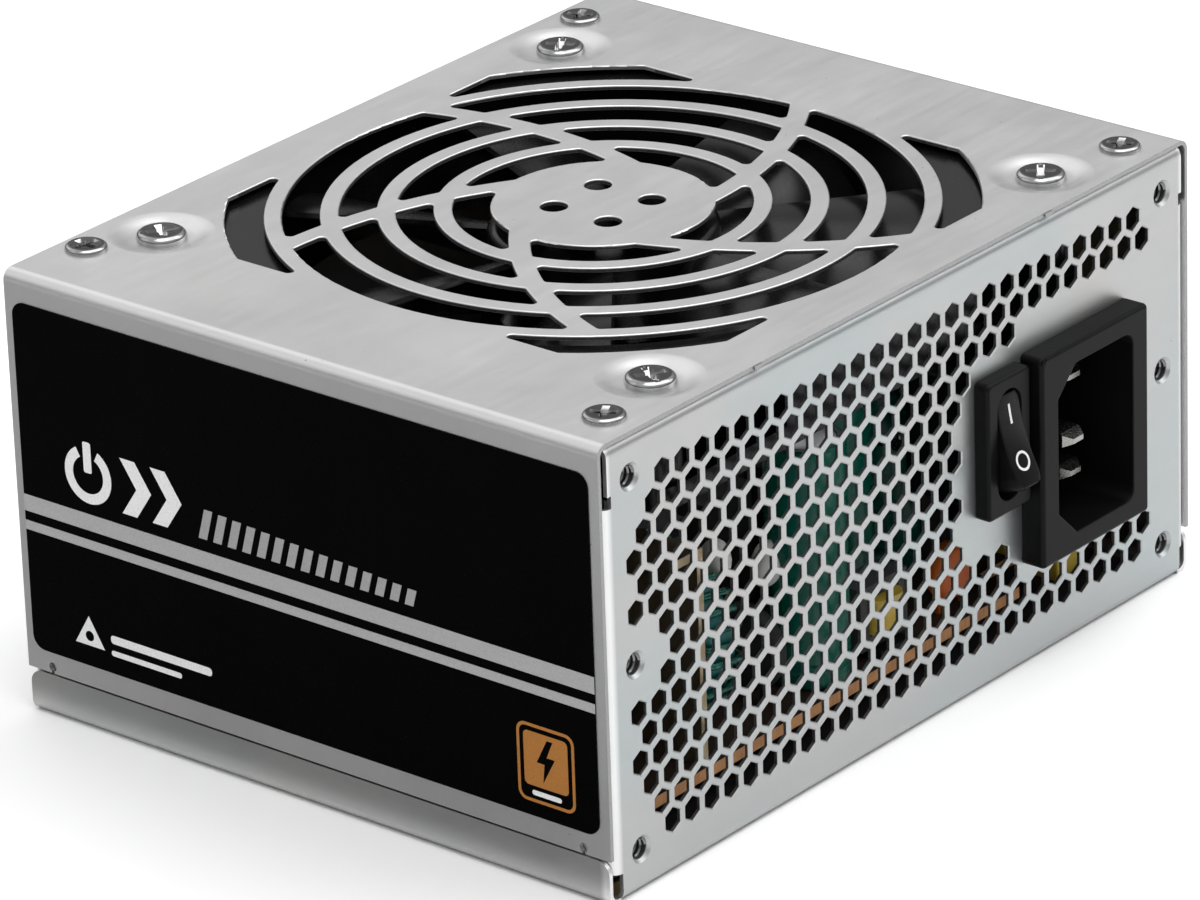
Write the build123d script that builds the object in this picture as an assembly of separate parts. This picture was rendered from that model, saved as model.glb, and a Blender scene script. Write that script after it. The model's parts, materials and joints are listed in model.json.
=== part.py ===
from build123d import *
import math
import os

# A small-form-factor computer power supply, in millimetres.
# Origin: centre of the casing's underside. +Z is up, towards the fan.
# X runs along the mains inlet panel, which is the -Y wall; the output cables leave by the +Y wall.

# ---- driving dimensions -------------------------------------------------------------------
CASE_X, CASE_Y, CASE_Z = 125.0, 100.0, 63.5   # the standard casing size
SHEET = 0.6                                   # steel sheet
BEND_R = 1.6                                  # outside radius of every bend
FLANGE_TOP = 6.2                              # height of the tray's side flanges
SEAM = 0.3                                    # gap between side flange and cover
HALF_X, HALF_Y = CASE_X / 2, CASE_Y / 2
WALL_TOP = CASE_Z - SHEET                     # where the cover's top sheet lies on the walls
PANEL_HALF_X = HALF_X - SHEET - 0.1           # inlet panel, inside the cover's sides
NOTCH_X = 60.3                                # corner relief at the foot of each wall
LIP_Y = 46.4                                  # wall lips stop here, clear of the fan

RETURN_LOW, RETURN_HIGH, RETURN_DEPTH = 4.1, 54.5, 7.0   # wall edges bent back along the sides
SIDE_RELIEFS = [                              # half width of the walls between two heights
    (NOTCH_X, -1, RETURN_LOW),
    (60.0, RETURN_LOW, RETURN_HIGH),
    (60.2, RETURN_HIGH, 56.2),
    (60.9, 56.2, CASE_Z),
]
CORNER_RELIEF_Y, CORNER_RELIEF_R = 45.5, 0.65  # at the ends of the cover's lower edges

PANEL_SCREW_X, PANEL_SCREW_Z = 56.5, (6.0, 31.75, 57.5)
PANEL_SCREW_R, PANEL_SCREW_SINK = 1.4, 1.9     # tapped for a 6-32 screw, and its countersink
COLLAR_WALL, COLLAR_LENGTH = 0.8, 1.6         # extruded collar behind each tapped hole

COVER_SCREWS = [(54.5, -44.6), (-54.5, -44.6), (51.0, 45.7), (-51.0, 45.7)]
COVER_SCREW_R, COVER_HEAD_R, COVER_HEAD_H, COVER_SCREW_LENGTH = 1.4, 2.85, 0.75, 5.0
TAB_HALF_X, TAB_DEPTH = 5.2, 10.0             # lip tabs that the cover screws bite into
SEAM_NIBS = (-30.5, 31.0)                     # small catches on the cover's edge above the inlet wall

# fan: 92 mm frame, 15 mm thick, hung under the cover
FAN_SIDE, FAN_THICK, FAN_PITCH = 92.0, 15.0, 82.5
DIMPLE_R, DIMPLE_FLOOR_R, DIMPLE_DEPTH = 7.2, 3.7, 0.8
FAN_TOP = WALL_TOP - DIMPLE_DEPTH
FAN_BOTTOM = FAN_TOP - FAN_THICK
FAN_HEAD_R, FAN_HEAD_H, FAN_SCREW_R, FAN_SCREW_LENGTH = 3.4, 1.2, 2.1, 9.0
BORE_R, TIP_R, HUB_R = 44.6, 43.6, 15.5
BLADES, STRUTS = 7, 4
SHAFT_R, BEARING_GAP = 1.5, 0.03
SLEEVE_R, BEARING_R = 4.2, 3.0                # the frame's bearing tube, outside and inside
CUP_IN_R, YOKE_IN_R, MAGNET_IN_R = HUB_R - 1.1, HUB_R - 1.9, HUB_R - 3.4
STATOR_LOW, STATOR_HIGH = FAN_BOTTOM + 4.4, FAN_BOTTOM + 9.0
POLES, POLE_HALF = 4, 1.3

# fan grille: four slotted rings, five curved spokes and a slot in each corner
DISC_R, RING_PITCH, SLOT_WIDTH, RINGS = 14.9, 7.5, 5.0, 4
SPOKES, SPOKE_WIDTH, SLOT_CORNER_R = 5, 2.9, 0.7
CORNER_IN_R, CORNER_OUT_R, CORNER_LIMIT = 44.8, 50.0, 42.1
CENTRE_HOLE_R, CENTRE_HOLE_OFFSET = 1.85, 4.6

# honeycomb vent in the inlet panel
HEX_PITCH, HEX_FLAT = 4.0, 3.0
HEX_EASE, SLOT_EASE = 0.15, 0.2               # eased outer edges left by the punch
HEX_ROW_PITCH = HEX_PITCH * math.sqrt(3) / 2
HEX_MID_Z, HEX_ROWS = 31.75, 15
HEX_WIDE_ROWS = {1: (-50, 50), 2: (-52, 52), 14: (-52, 52), 15: (-50, 50)}   # row: first, last X
HEX_LEFT_END = {3: -54, 4: -56, 5: -54, 6: -56, 7: -50, 8: -48, 9: -50, 10: -56, 11: -54, 12: -56, 13: -54}
HEX_RIGHT_END = {3: 22, 4: 12, 5: 10, 6: 8, 7: 10, 8: 8, 9: 10, 10: 8, 11: 10, 12: 20, 13: 22}

# mains inlet and switch: centres on the panel
INLET_X, INLET_Z = 36.4, 30.2
INLET_FLANGE = (24.0, 30.4, 3.6)              # X, Z, how far it stands out
INLET_BODY = (19.6, 27.2)
CAVITY = (16.8, 24.4)
CAVITY_DEPTH, CAVITY_CHAMFER, INLET_FLOOR = 17.0, 4.0, 2.0
INLET_FRONT = -HALF_Y - INLET_FLANGE[2]
INLET_BACK = INLET_FRONT + CAVITY_DEPTH + INLET_FLOOR
PIN_SPREAD, PIN_OFFSET, PIN_LONG, PIN_THIN = 7.0, 2.0, 4.0, 2.0

SWITCH_X, SWITCH_Z = 19.0, 35.05
SWITCH_FLANGE = (9.5, 19.7, 2.3)
SWITCH_BODY = (7.9, 18.0)
SWITCH_FRONT = -HALF_Y - SWITCH_FLANGE[2]
SWITCH_BACK = -38.0
WINDOW = (5.2, 15.8)
WINDOW_DEPTH = 9.3
PIVOT_Y = -50.3
ROCKER_TILT = 18.5                            # rest tilt: top pressed in, which is on
ROCKER_HALF_W, ROCKER_FACE, ROCKER_HALF_L = 2.4, 3.85, 6.3
ROCKER_HOLLOW = 0.75                          # how far the face curves in at its middle
PIVOT_R = 0.8

# main board
BOARD_Z, BOARD_T = 8.0, 1.6
BOARD_TOP = BOARD_Z + BOARD_T
BOARD_HALF_X, BOARD_HALF_Y = 58.0, 46.8
STANDOFFS = [(-53.0, -41.0), (53.0, -31.0), (-53.0, 41.0), (53.0, 41.0)]
BOARD_SCREW = (2.75, 1.8, 1.4, 6.0)           # head radius and height, shank radius, length

# what stands on it
PRIMARY_CAN, OUTPUT_CAN = (5.5, 34.0), (5.0, 20.0)   # radius and height of the capacitors
PRIMARY_CAN_PLACES = [(-9.6, -40.5), (8.0, -31.0), (25.0, -26.0)]
OUTPUT_CAN_X, OUTPUT_CAN_PITCH = -26.0, 11.5
BRIDGE_PLATE_X, BRIDGE_PLATE_Y, BRIDGE_TOP = (-39.2, -38.0), (-46.2, -22.0), 40.0
CARD_X, CARD_Y, CARD_TOP = (-52.0, -50.6), (4.0, 36.0), 36.0
FUSE_X, FUSE_Y = 54.5, (-22.0, -2.0)
HEADER_X, HEADER_Y = -43.25, 43.25            # middle of the fan's connector
HEATSINK_TOP, HEATSINK_HALF_T = 42.0, 1.2
DEVICE_FOOT, DEVICE_TOP, DEVICE_T = 15.0, 30.0, 4.4   # power packages on the heatsinks
LEAD_REACH, LEAD_HALF = 2.5, 0.3              # leads of the disc components

LABEL_T = 0.15
GROMMET_X, GROMMET_Z = -18.0, 30.0
GROMMET = (28.0, 16.0)                        # opening in the far wall, round-ended


# ---- small helpers ------------------------------------------------------------------------
def block(x0, x1, y0, y1, z0, z1):
    """A box from its lowest and highest corners."""
    centre = ((x0 + x1) / 2, (y0 + y1) / 2, (z0 + z1) / 2)
    return Pos(*centre) * Box(x1 - x0, y1 - y0, z1 - z0)


def disc(r, z0, z1, x=0.0, y=0.0):
    """An upright cylinder between two heights."""
    return Pos(x, y, (z0 + z1) / 2) * Cylinder(r, z1 - z0)


def tube(r_out, r_in, z0, z1, x=0.0, y=0.0):
    """An upright tube between two heights."""
    return disc(r_out, z0, z1, x, y) - disc(r_in, z0, z1, x, y)


def rod_y(r, y0, y1, x, z):
    """A cylinder along Y."""
    return Pos(x, (y0 + y1) / 2, z) * Rot(90, 0, 0) * Cylinder(r, y1 - y0)


def rod_x(r, x0, x1, y, z):
    """A cylinder along X."""
    return Pos((x0 + x1) / 2, y, z) * Rot(0, 90, 0) * Cylinder(r, x1 - x0)


def wall_shape(sketch, y0, y1):
    """A sketch drawn in X and Z, pushed through the wall from y0 to y1."""
    plane = Plane(origin=(0, y0, 0), x_dir=(1, 0, 0), z_dir=(0, -1, 0))
    return extrude(plane * sketch, y1 - y0, dir=(0, 1, 0))


def group(solids):
    """Separate solids kept in one node."""
    return Compound(children=list(solids))


def wire(points, radius, bends):
    """A round wire: straight runs joined by tangent arcs."""
    path = FilletPolyline(*points, radius=bends)
    start = Plane(origin=path @ 0, z_dir=path % 0)
    return sweep(start * Circle(radius), path=path)


# ---- sheet metal casing -------------------------------------------------------------------
def bent_section(width, height, low_cut):
    """A closed rounded loop of sheet; low_cut removes what the folded part leaves open."""
    outer = Pos(0, height / 2) * RectangleRounded(width, height, BEND_R)
    inner_size = (width - 2 * SHEET, height - 2 * SHEET)
    inner = Pos(0, height / 2) * RectangleRounded(*inner_size, BEND_R - SHEET)
    return outer - inner - low_cut


def tray_walls():
    """Floor, inlet wall and cable wall with inward lips, folded from one sheet."""
    gap = Pos(0, WALL_TOP) * Rectangle(2 * LIP_Y, 6 * SHEET)
    section = bent_section(CASE_Y, WALL_TOP, gap)
    walls = extrude(Plane.YZ * section, PANEL_HALF_X, both=True)
    for x, y in COVER_SCREWS:
        side = math.copysign(1, y)
        low, high = sorted((side * (LIP_Y - 0.5), side * (HALF_Y - TAB_DEPTH)))
        walls += block(x - TAB_HALF_X, x + TAB_HALF_X, low, high, WALL_TOP - SHEET, WALL_TOP)
    for x, y in fan_screw_points():
        walls -= disc(DIMPLE_R + 0.2, WALL_TOP - 2, WALL_TOP + 1, x, y)
    return walls


def side_flange_cuts():
    """Corner reliefs: where the walls narrow above and below their side returns."""
    cuts = []
    for side in (-1, 1):
        for x_in, z0, z1 in SIDE_RELIEFS:
            low, high = sorted((side * x_in, side * (HALF_X + 1)))
            cuts.append(block(low, high, -HALF_Y - 1, HALF_Y + 1, z0, z1))
    return cuts


def wall_returns():
    """The inlet and cable walls' edges, bent back inside the cover's sides."""
    bend, rise = BEND_R, (RETURN_LOW, RETURN_HIGH)
    parts = []
    for side in (-1, 1):
        for end in (-1, 1):
            corner_x, corner_y = side * (PANEL_HALF_X - bend), end * (HALF_Y - bend)
            quarter = tube(bend, bend - SHEET, *rise, corner_x, corner_y)
            keep_x = sorted((corner_x, corner_x + side * bend))
            keep_y = sorted((corner_y, corner_y + end * bend))
            quarter &= block(*keep_x, *keep_y, *rise)
            x_skin = sorted((side * (PANEL_HALF_X - SHEET), side * PANEL_HALF_X))
            y_skin = sorted((corner_y, corner_y - end * RETURN_DEPTH))
            parts.append(quarter + block(*x_skin, *y_skin, *rise))
            flat_x = sorted((side * 59.5, corner_x))
            flat_y = sorted((end * (HALF_Y - SHEET), end * HALF_Y))
            parts.append(block(*flat_x, *flat_y, *rise))
    return parts


def tray_floor():
    """The floor's side flanges, turned up outside, with rounded upper corners."""
    gap = Pos(0, CASE_Z) * Rectangle(CASE_X + 2, 2 * (CASE_Z - FLANGE_TOP))
    section = bent_section(CASE_X, CASE_Z, gap)
    reach = HALF_Y - 0.4
    floor = extrude(Plane.XZ * section, reach, both=True)
    side_view = Pos(0, (FLANGE_TOP - 5) / 2) * RectangleRounded(2 * reach, FLANGE_TOP + 5, 2.0)
    floor &= extrude(Plane.YZ * side_view, HALF_X + 1, both=True)
    for y0, y1 in ((-HALF_Y, BEND_R - HALF_Y), (HALF_Y - BEND_R, HALF_Y)):
        floor -= block(-NOTCH_X, NOTCH_X, y0, y1, -1, 1)
    return floor


def honeycomb_centres():
    """Hexagon centres, row by row from the top, leaving room for the switch and inlet."""
    for row in range(1, HEX_ROWS + 1):
        first, last = HEX_WIDE_ROWS.get(row, (HEX_LEFT_END.get(row), HEX_RIGHT_END.get(row)))
        z = HEX_MID_Z + (HEX_ROWS + 1 - 2 * row) / 2 * HEX_ROW_PITCH
        for step in range(round((last - first) / HEX_PITCH) + 1):
            yield first + step * HEX_PITCH, z


def hexagon(flat, y):
    """A hexagon across the panel at depth y."""
    sketch = RegularPolygon(flat / 2, 6, major_radius=False, rotation=30)
    return Plane(origin=(0, y, 0), x_dir=(1, 0, 0), z_dir=(0, -1, 0)) * sketch


def honeycomb():
    """One punch for each vent hole: a hexagon that flares a little at the panel's face."""
    proud = 0.5
    mouth = loft([hexagon(HEX_FLAT + 2 * (HEX_EASE + proud), -HALF_Y - proud),
                  hexagon(HEX_FLAT, -HALF_Y + HEX_EASE)])
    punch = mouth + extrude(hexagon(HEX_FLAT, -HALF_Y - proud), proud + SHEET + 0.05, dir=(0, 1, 0))
    return [Pos(x, 0, z) * punch for x, z in honeycomb_centres()]


def panel_openings():
    """The inlet's and the switch's cut-outs in the inlet panel."""
    sketch = Pos(INLET_X, INLET_Z) * Rectangle(INLET_BODY[0] + 0.4, INLET_BODY[1] + 0.4)
    sketch += Pos(SWITCH_X, SWITCH_Z) * Rectangle(SWITCH_BODY[0] + 0.2, SWITCH_BODY[1] + 0.2)
    return wall_shape(sketch, -HALF_Y - 1, -HALF_Y + SHEET + 0.05)


def screw_hole(x, z, depth):
    """A hole for a panel screw, countersunk where the sheet was drawn in."""
    sink = PANEL_SCREW_SINK - PANEL_SCREW_R
    cone = Cone(PANEL_SCREW_SINK, PANEL_SCREW_R, sink, align=(Align.CENTER, Align.CENTER, Align.MIN))
    cone += Cylinder(PANEL_SCREW_SINK, 1, align=(Align.CENTER, Align.CENTER, Align.MAX))
    return rod_y(PANEL_SCREW_R, -HALF_Y - 1, depth, x, z) + Pos(x, -HALF_Y, z) * Rot(-90, 0, 0) * cone


def panel_screw_points():
    return [(side * PANEL_SCREW_X, z) for side in (-1, 1) for z in PANEL_SCREW_Z]


def chassis_tray():
    tray = tray_walls()
    for cut in side_flange_cuts():
        tray -= cut
    for piece in wall_returns():
        tray += piece
    tray += tray_floor()
    tray -= honeycomb()
    tray -= panel_openings()
    collar_end = -HALF_Y + SHEET + COLLAR_LENGTH
    for x, z in panel_screw_points():
        tray += rod_y(PANEL_SCREW_R + COLLAR_WALL, -HALF_Y + SHEET / 2, collar_end, x, z)
        tray -= screw_hole(x, z, collar_end + 1)
    for x, y in COVER_SCREWS:
        tray += disc(2.2, WALL_TOP - 2.2, WALL_TOP - SHEET / 2, x, y)
        tray -= disc(COVER_SCREW_R + 0.05, WALL_TOP - 4, WALL_TOP + 1, x, y)
    cable_slot = Pos(GROMMET_X, GROMMET_Z) * SlotOverall(*GROMMET)
    tray -= wall_shape(cable_slot, HALF_Y - 2, HALF_Y + 1)
    return tray


def spoke():
    """One curved spoke of the grille, swept outwards from the centre disc."""
    middle = ThreePointArc((7.0, -10.4), (28.4, -7.0), (44.6, 1.6))
    return trace(middle, SPOKE_WIDTH)


def grille_slots():
    """The open area of the fan grille."""
    open_area = Sketch()
    for ring in range(RINGS):
        inner = DISC_R + ring * RING_PITCH
        open_area += Circle(inner + SLOT_WIDTH) - Circle(inner)
    corners = Circle(CORNER_OUT_R) - Circle(CORNER_IN_R)
    corners &= Rectangle(2 * CORNER_LIMIT, 2 * CORNER_LIMIT)
    for k in range(SPOKES):
        open_area -= Rot(0, 0, k * 360 / SPOKES) * spoke()
    ends = open_area.vertices().filter_by(lambda v: abs(v.Y) > 1e-3)
    open_area = fillet(ends, SLOT_CORNER_R)
    open_area += fillet(corners.vertices().filter_by(lambda v: abs(v.X) + abs(v.Y) < 62.5), SLOT_CORNER_R)
    for x in (-CENTRE_HOLE_OFFSET, CENTRE_HOLE_OFFSET):
        for y in (-CENTRE_HOLE_OFFSET, CENTRE_HOLE_OFFSET):
            open_area += Pos(x, y) * Circle(CENTRE_HOLE_R)
    return open_area


def dimple(x, y):
    """A pressed recess around a fan screw: one sheet thick, with a smooth S-shaped wall."""
    top, low = CASE_Z, CASE_Z - DIMPLE_DEPTH
    hole, inner, outer = FAN_SCREW_R + 0.3, DIMPLE_FLOOR_R, DIMPLE_R
    rim = outer + 0.6
    upper = [Line((hole, low), (inner, low)), Spline((inner, low), (outer, top), tangents=[(1, 0), (1, 0)]),
             Line((outer, top), (rim, top))]
    lower = [Line((rim, top - SHEET), (outer, top - SHEET)),
             Spline((outer, top - SHEET), (inner, low - SHEET), tangents=[(-1, 0), (-1, 0)]),
             Line((inner, low - SHEET), (hole, low - SHEET))]
    ends = [Line((rim, top), (rim, top - SHEET)), Line((hole, low - SHEET), (hole, low))]
    ring = revolve(Plane.XZ * make_face([*upper, ends[0], *lower, ends[1]]), Axis.Z)
    return Pos(x, y, 0) * ring


def fan_screw_points():
    half = FAN_PITCH / 2
    return [(x, y) for x in (-half, half) for y in (-half, half)]


def top_cover():
    gap = Rectangle(CASE_X + 2, 2 * (FLANGE_TOP + SEAM))
    section = bent_section(CASE_X, CASE_Z, gap)
    cover = extrude(Plane.XZ * section, HALF_Y - 0.1, both=True)
    cover -= extrude(Pos(0, 0, WALL_TOP - 1) * grille_slots(), 4)
    top_face = cover.faces().filter_by(Axis.Z).sort_by(Axis.Z)[-1]
    cover = fillet([edge for loop in top_face.inner_wires() for edge in loop.edges()], SLOT_EASE)
    for x, y in fan_screw_points():
        cover -= disc(DIMPLE_R + 0.3, WALL_TOP - 0.5, CASE_Z + 1, x, y)
        cover += dimple(x, y)
    for x, y in COVER_SCREWS:
        cover -= disc(COVER_SCREW_R + 0.2, WALL_TOP - 1, CASE_Z + 1, x, y)
    for x in SEAM_NIBS:
        cover += block(x - 0.8, x + 0.8, -HALF_Y - 0.15, 0.3 - HALF_Y, CASE_Z - SHEET + 0.05, CASE_Z - 0.1)
    relief_z = FLANGE_TOP + SEAM + 0.9
    for y in (-CORNER_RELIEF_Y, CORNER_RELIEF_Y):
        cover -= rod_x(CORNER_RELIEF_R, -HALF_X - 1, HALF_X + 1, y, relief_z)
        cover -= block(-HALF_X - 1, HALF_X + 1, y - 0.25, y + 0.25, FLANGE_TOP, relief_z)
    return cover


def side_label():
    """The adhesive label on the -X side."""
    face = Plane(origin=(-HALF_X, 0.15, 34.55), x_dir=(0, -1, 0), z_dir=(-1, 0, 0))
    return extrude(face * RectangleRounded(96.9, 49.9, 2.0), LABEL_T)


def cable_grommet():
    """A flanged plastic bush that lines the cable opening in the far wall."""
    outer = (GROMMET[0] - 0.2, GROMMET[1] - 0.2)
    flange = (GROMMET[0] + 4, GROMMET[1] + 4)
    inner = (GROMMET[0] - 4, GROMMET[1] - 4)
    place = Pos(GROMMET_X, GROMMET_Z)
    body = wall_shape(place * SlotOverall(*outer), HALF_Y - 3.2, HALF_Y + 1.4)
    body += wall_shape(place * SlotOverall(*flange), HALF_Y, HALF_Y + 1.4)
    body += wall_shape(place * SlotOverall(*flange), HALF_Y - 3.2, HALF_Y - SHEET - 0.05)
    return body - wall_shape(place * SlotOverall(*inner), HALF_Y - 5, HALF_Y + 2)


# ---- screws -------------------------------------------------------------------------------
def pan_screw(x, y, seat, head_r, head_h, shank_r, length):
    """A pan-head cross-recess screw pointing down, seated at a height."""
    dome = Pos(x, y, seat) * Cylinder(head_r, head_h, align=(Align.CENTER, Align.CENTER, Align.MIN))
    dome = fillet(dome.edges().filter_by(GeomType.CIRCLE).sort_by(Axis.Z)[-1], head_h * 0.6)
    recess = Pos(x, y, seat + head_h) * (Box(head_r * 1.1, 0.7, 1.6) + Box(0.7, head_r * 1.1, 1.6))
    return dome + disc(shank_r, seat - length, seat + 0.01, x, y) - recess


def fan_screws():
    seat = CASE_Z - DIMPLE_DEPTH
    size = (FAN_HEAD_R, FAN_HEAD_H, FAN_SCREW_R, FAN_SCREW_LENGTH)
    return group(pan_screw(x, y, seat, *size) for x, y in fan_screw_points())


def cover_screws():
    size = (COVER_HEAD_R, COVER_HEAD_H, COVER_SCREW_R, COVER_SCREW_LENGTH)
    return group(pan_screw(x, y, CASE_Z, *size) for x, y in COVER_SCREWS)


def board_screws():
    return group(pan_screw(x, y, BOARD_TOP, *BOARD_SCREW) for x, y in STANDOFFS)


# ---- fan ----------------------------------------------------------------------------------
def fan_frame():
    base = extrude(Pos(0, 0, FAN_BOTTOM) * RectangleRounded(FAN_SIDE, FAN_SIDE, 4.0), FAN_THICK)
    duct = disc(BORE_R, FAN_BOTTOM - 1, FAN_TOP + 1)
    pocket = extrude(Pos(0, 0, FAN_BOTTOM + 3) * Rectangle(FAN_SIDE + 2, FAN_SIDE + 2), FAN_THICK - 6)
    pocket -= disc(BORE_R + 1.4, FAN_BOTTOM, FAN_TOP)
    for x, y in fan_screw_points():
        pocket -= disc(4.0, FAN_BOTTOM, FAN_TOP, x, y)
    for side in (-1, 1):
        low, high = side * FAN_SIDE / 2 - 3, side * FAN_SIDE / 2 + 3
        pocket -= block(-20, 20, low, high, FAN_BOTTOM, FAN_TOP)
        pocket -= block(low, high, -20, 20, FAN_BOTTOM, FAN_TOP)
    frame = base - duct - pocket
    motor_floor = disc(17.0, FAN_BOTTOM, FAN_BOTTOM + 1.5)
    sleeve = tube(SLEEVE_R, BEARING_R, FAN_BOTTOM, FAN_BOTTOM + 9.5)
    frame += motor_floor - disc(BEARING_R, FAN_BOTTOM + 0.8, FAN_TOP) + sleeve
    for k in range(STRUTS):
        strut = block(16, BORE_R + 0.5, -1.6, 1.6, FAN_BOTTOM, FAN_BOTTOM + 2.5)
        frame += Rot(0, 0, 45 + k * 360 / STRUTS) * strut
    for x, y in fan_screw_points():
        frame -= disc(FAN_SCREW_R + 0.05, FAN_BOTTOM - 1, FAN_TOP + 1, x, y)
    return frame


def blade():
    """One twisted, cambered blade, lofted from root to tip."""
    sections = []
    for radius, chord, pitch, camber in ((14.0, 13.0, 46.0, 1.7), (45.0, 25.0, 22.0, 2.4)):
        top = ThreePointArc((-chord / 2, 0), (0, camber + 0.5), (chord / 2, 0))
        low = ThreePointArc((chord / 2, -0.7), (0, camber - 0.7), (-chord / 2, -0.7))
        ends = Line(top @ 1, low @ 0) + Line(low @ 1, top @ 0)
        face = make_face([top, low, *ends.edges()])
        plane = Plane(origin=(radius, 0, FAN_BOTTOM + 8.2), x_dir=(0, 1, 0), z_dir=(1, 0, 0))
        sections.append(plane * Rot(0, 0, pitch) * face)
    return loft(sections)


def fan_impeller():
    low, high = FAN_BOTTOM + 2.6, FAN_BOTTOM + 14.0
    cup = disc(HUB_R, low, high)
    cup = fillet(cup.edges().filter_by(GeomType.CIRCLE).sort_by(Axis.Z)[-1], 1.2)
    envelope = tube(TIP_R, HUB_R - 0.6, low + 0.3, high - 0.4)
    one = blade() & envelope
    for k in range(BLADES):
        cup += Rot(0, 0, k * 360 / BLADES) * one
    cup -= disc(CUP_IN_R, low - 1, high - 1.2)
    cup += disc(3.2, high - 3.2, high - 1.0)
    return cup - disc(SHAFT_R, low - 1, high - 1.3)


def fan_yoke():
    """Steel ring pressed into the hub, which carries the magnet."""
    return tube(CUP_IN_R, YOKE_IN_R, FAN_BOTTOM + 3.2, FAN_BOTTOM + 12.8)


def fan_magnet():
    return tube(YOKE_IN_R, MAGNET_IN_R, FAN_BOTTOM + 3.4, FAN_BOTTOM + 10.4)


def fan_shaft():
    return disc(SHAFT_R, FAN_BOTTOM + 1.0, FAN_BOTTOM + 12.7)


def fan_bearing():
    return tube(BEARING_R, SHAFT_R + BEARING_GAP, FAN_BOTTOM + 1.6, FAN_BOTTOM + 9.5)


def fan_stator():
    """Laminated core: a ring on the bearing sleeve with four T-shaped poles."""
    low, high = STATOR_LOW, STATOR_HIGH
    core = disc(5.6, low, high)
    shoes = tube(11.4, 10.3, low, high)
    for k in range(POLES):
        turn = k * 360 / POLES
        core += Rot(0, 0, turn) * block(5, 10.6, -POLE_HALF, POLE_HALF, low, high)
        shoes -= Rot(0, 0, turn + 180 / POLES) * block(8, 13, -1.0, 1.0, low - 1, high + 1)
    return core + shoes - disc(SLEEVE_R, low - 1, high + 1)


def fan_coils():
    """Four windings, one around each stator pole."""
    coil = block(6.2, 9.7, -2.9, 2.9, STATOR_LOW - 1.2, STATOR_HIGH + 1.2)
    coil -= block(6.0, 10.2, -POLE_HALF, POLE_HALF, STATOR_LOW, STATOR_HIGH)
    return group(Rot(0, 0, k * 360 / POLES) * coil for k in range(POLES))


def fan_circuit_board():
    return tube(11.2, SLEEVE_R, FAN_BOTTOM + 1.5, FAN_BOTTOM + 2.5)


# ---- mains inlet and switch ---------------------------------------------------------------
def inlet_housing():
    place = Pos(INLET_X, INLET_Z)
    flange = wall_shape(place * RectangleRounded(*INLET_FLANGE[:2], 0.8), INLET_FRONT, -HALF_Y)
    flange = chamfer(flange.faces().sort_by(Axis.Y)[0].outer_wire().edges(), 0.4)
    body = wall_shape(place * RectangleRounded(*INLET_BODY, 1.0), -HALF_Y, INLET_BACK)
    # the cavity's two corners on the earth side are cut off, so the plug fits one way round
    half_w, half_h, cut = CAVITY[0] / 2, CAVITY[1] / 2, CAVITY_CHAMFER
    corners = [
        (-half_w, cut - half_h), (-half_w, half_h - cut), (cut - half_w, half_h),
        (half_w, half_h), (half_w, -half_h), (cut - half_w, -half_h),
    ]
    mouth = Polygon(*corners, align=None)
    mouth = fillet(mouth.vertices().filter_by(lambda v: v.X < 0), 0.6)
    mouth = fillet(mouth.vertices().sort_by(Axis.X)[-2:], 1.8)
    cavity = wall_shape(place * mouth, INLET_FRONT - 1, INLET_BACK - INLET_FLOOR)
    housing = flange + body - cavity
    # snap hooks that hold the housing behind the panel
    for side in (-1, 1):
        hook_z = INLET_Z + side * INLET_BODY[1] / 2
        low, high = sorted((hook_z - side * 0.5, hook_z + side * 1.0))
        housing += block(INLET_X - 4, INLET_X + 4, -HALF_Y + SHEET + 0.1, -HALF_Y + 4.0, low, high)
    for x, z in pin_places().values():
        housing -= block(x - PIN_LONG / 2, x + PIN_LONG / 2, INLET_BACK - 5, INLET_BACK + 1,
                         z - PIN_THIN / 2, z + PIN_THIN / 2)
    return housing


def pin_places():
    return {
        "earth": (INLET_X - PIN_OFFSET, INLET_Z),
        "live": (INLET_X + PIN_OFFSET, INLET_Z + PIN_SPREAD),
        "neutral": (INLET_X + PIN_OFFSET, INLET_Z - PIN_SPREAD),
    }


def inlet_pin(name, set_back):
    """A flat contact blade with a chisel tip and a solder tab behind the housing."""
    x, z = pin_places()[name]
    tip = INLET_FRONT + set_back
    half_x, half_z = PIN_LONG / 2, PIN_THIN / 2
    plan_end, side_end, nose_x, nose_z = tip + 1.2, tip + 1.6, half_x - 0.9, 0.35
    plan = Polygon((-half_x, INLET_BACK), (-half_x, plan_end), (-nose_x, tip), (nose_x, tip),
                   (half_x, plan_end), (half_x, INLET_BACK), align=None)
    side = Polygon((INLET_BACK, -half_z), (side_end, -half_z), (tip, -nose_z), (tip, nose_z),
                   (side_end, half_z), (INLET_BACK, half_z), align=None)
    contact = extrude(plan, half_z, both=True) & extrude(Plane.YZ * side, half_x, both=True)
    tab = block(x - 2.4, x + 2.4, INLET_BACK, INLET_BACK + 7.5, z - 0.4, z + 0.4)
    return Pos(x, 0, z) * contact + tab - Pos(x, INLET_BACK + 5, z) * Cylinder(0.8, 3)


def inlet_capacitor():
    """A small boxed suppressor under the inlet, in front of the board's edge."""
    body = block(38.0, 43.5, -45.8, -40.8, 6.0, 16.5)
    return fillet(body.edges().filter_by(Axis.Y) + body.edges().group_by(Axis.Y)[0], 0.5)


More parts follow.
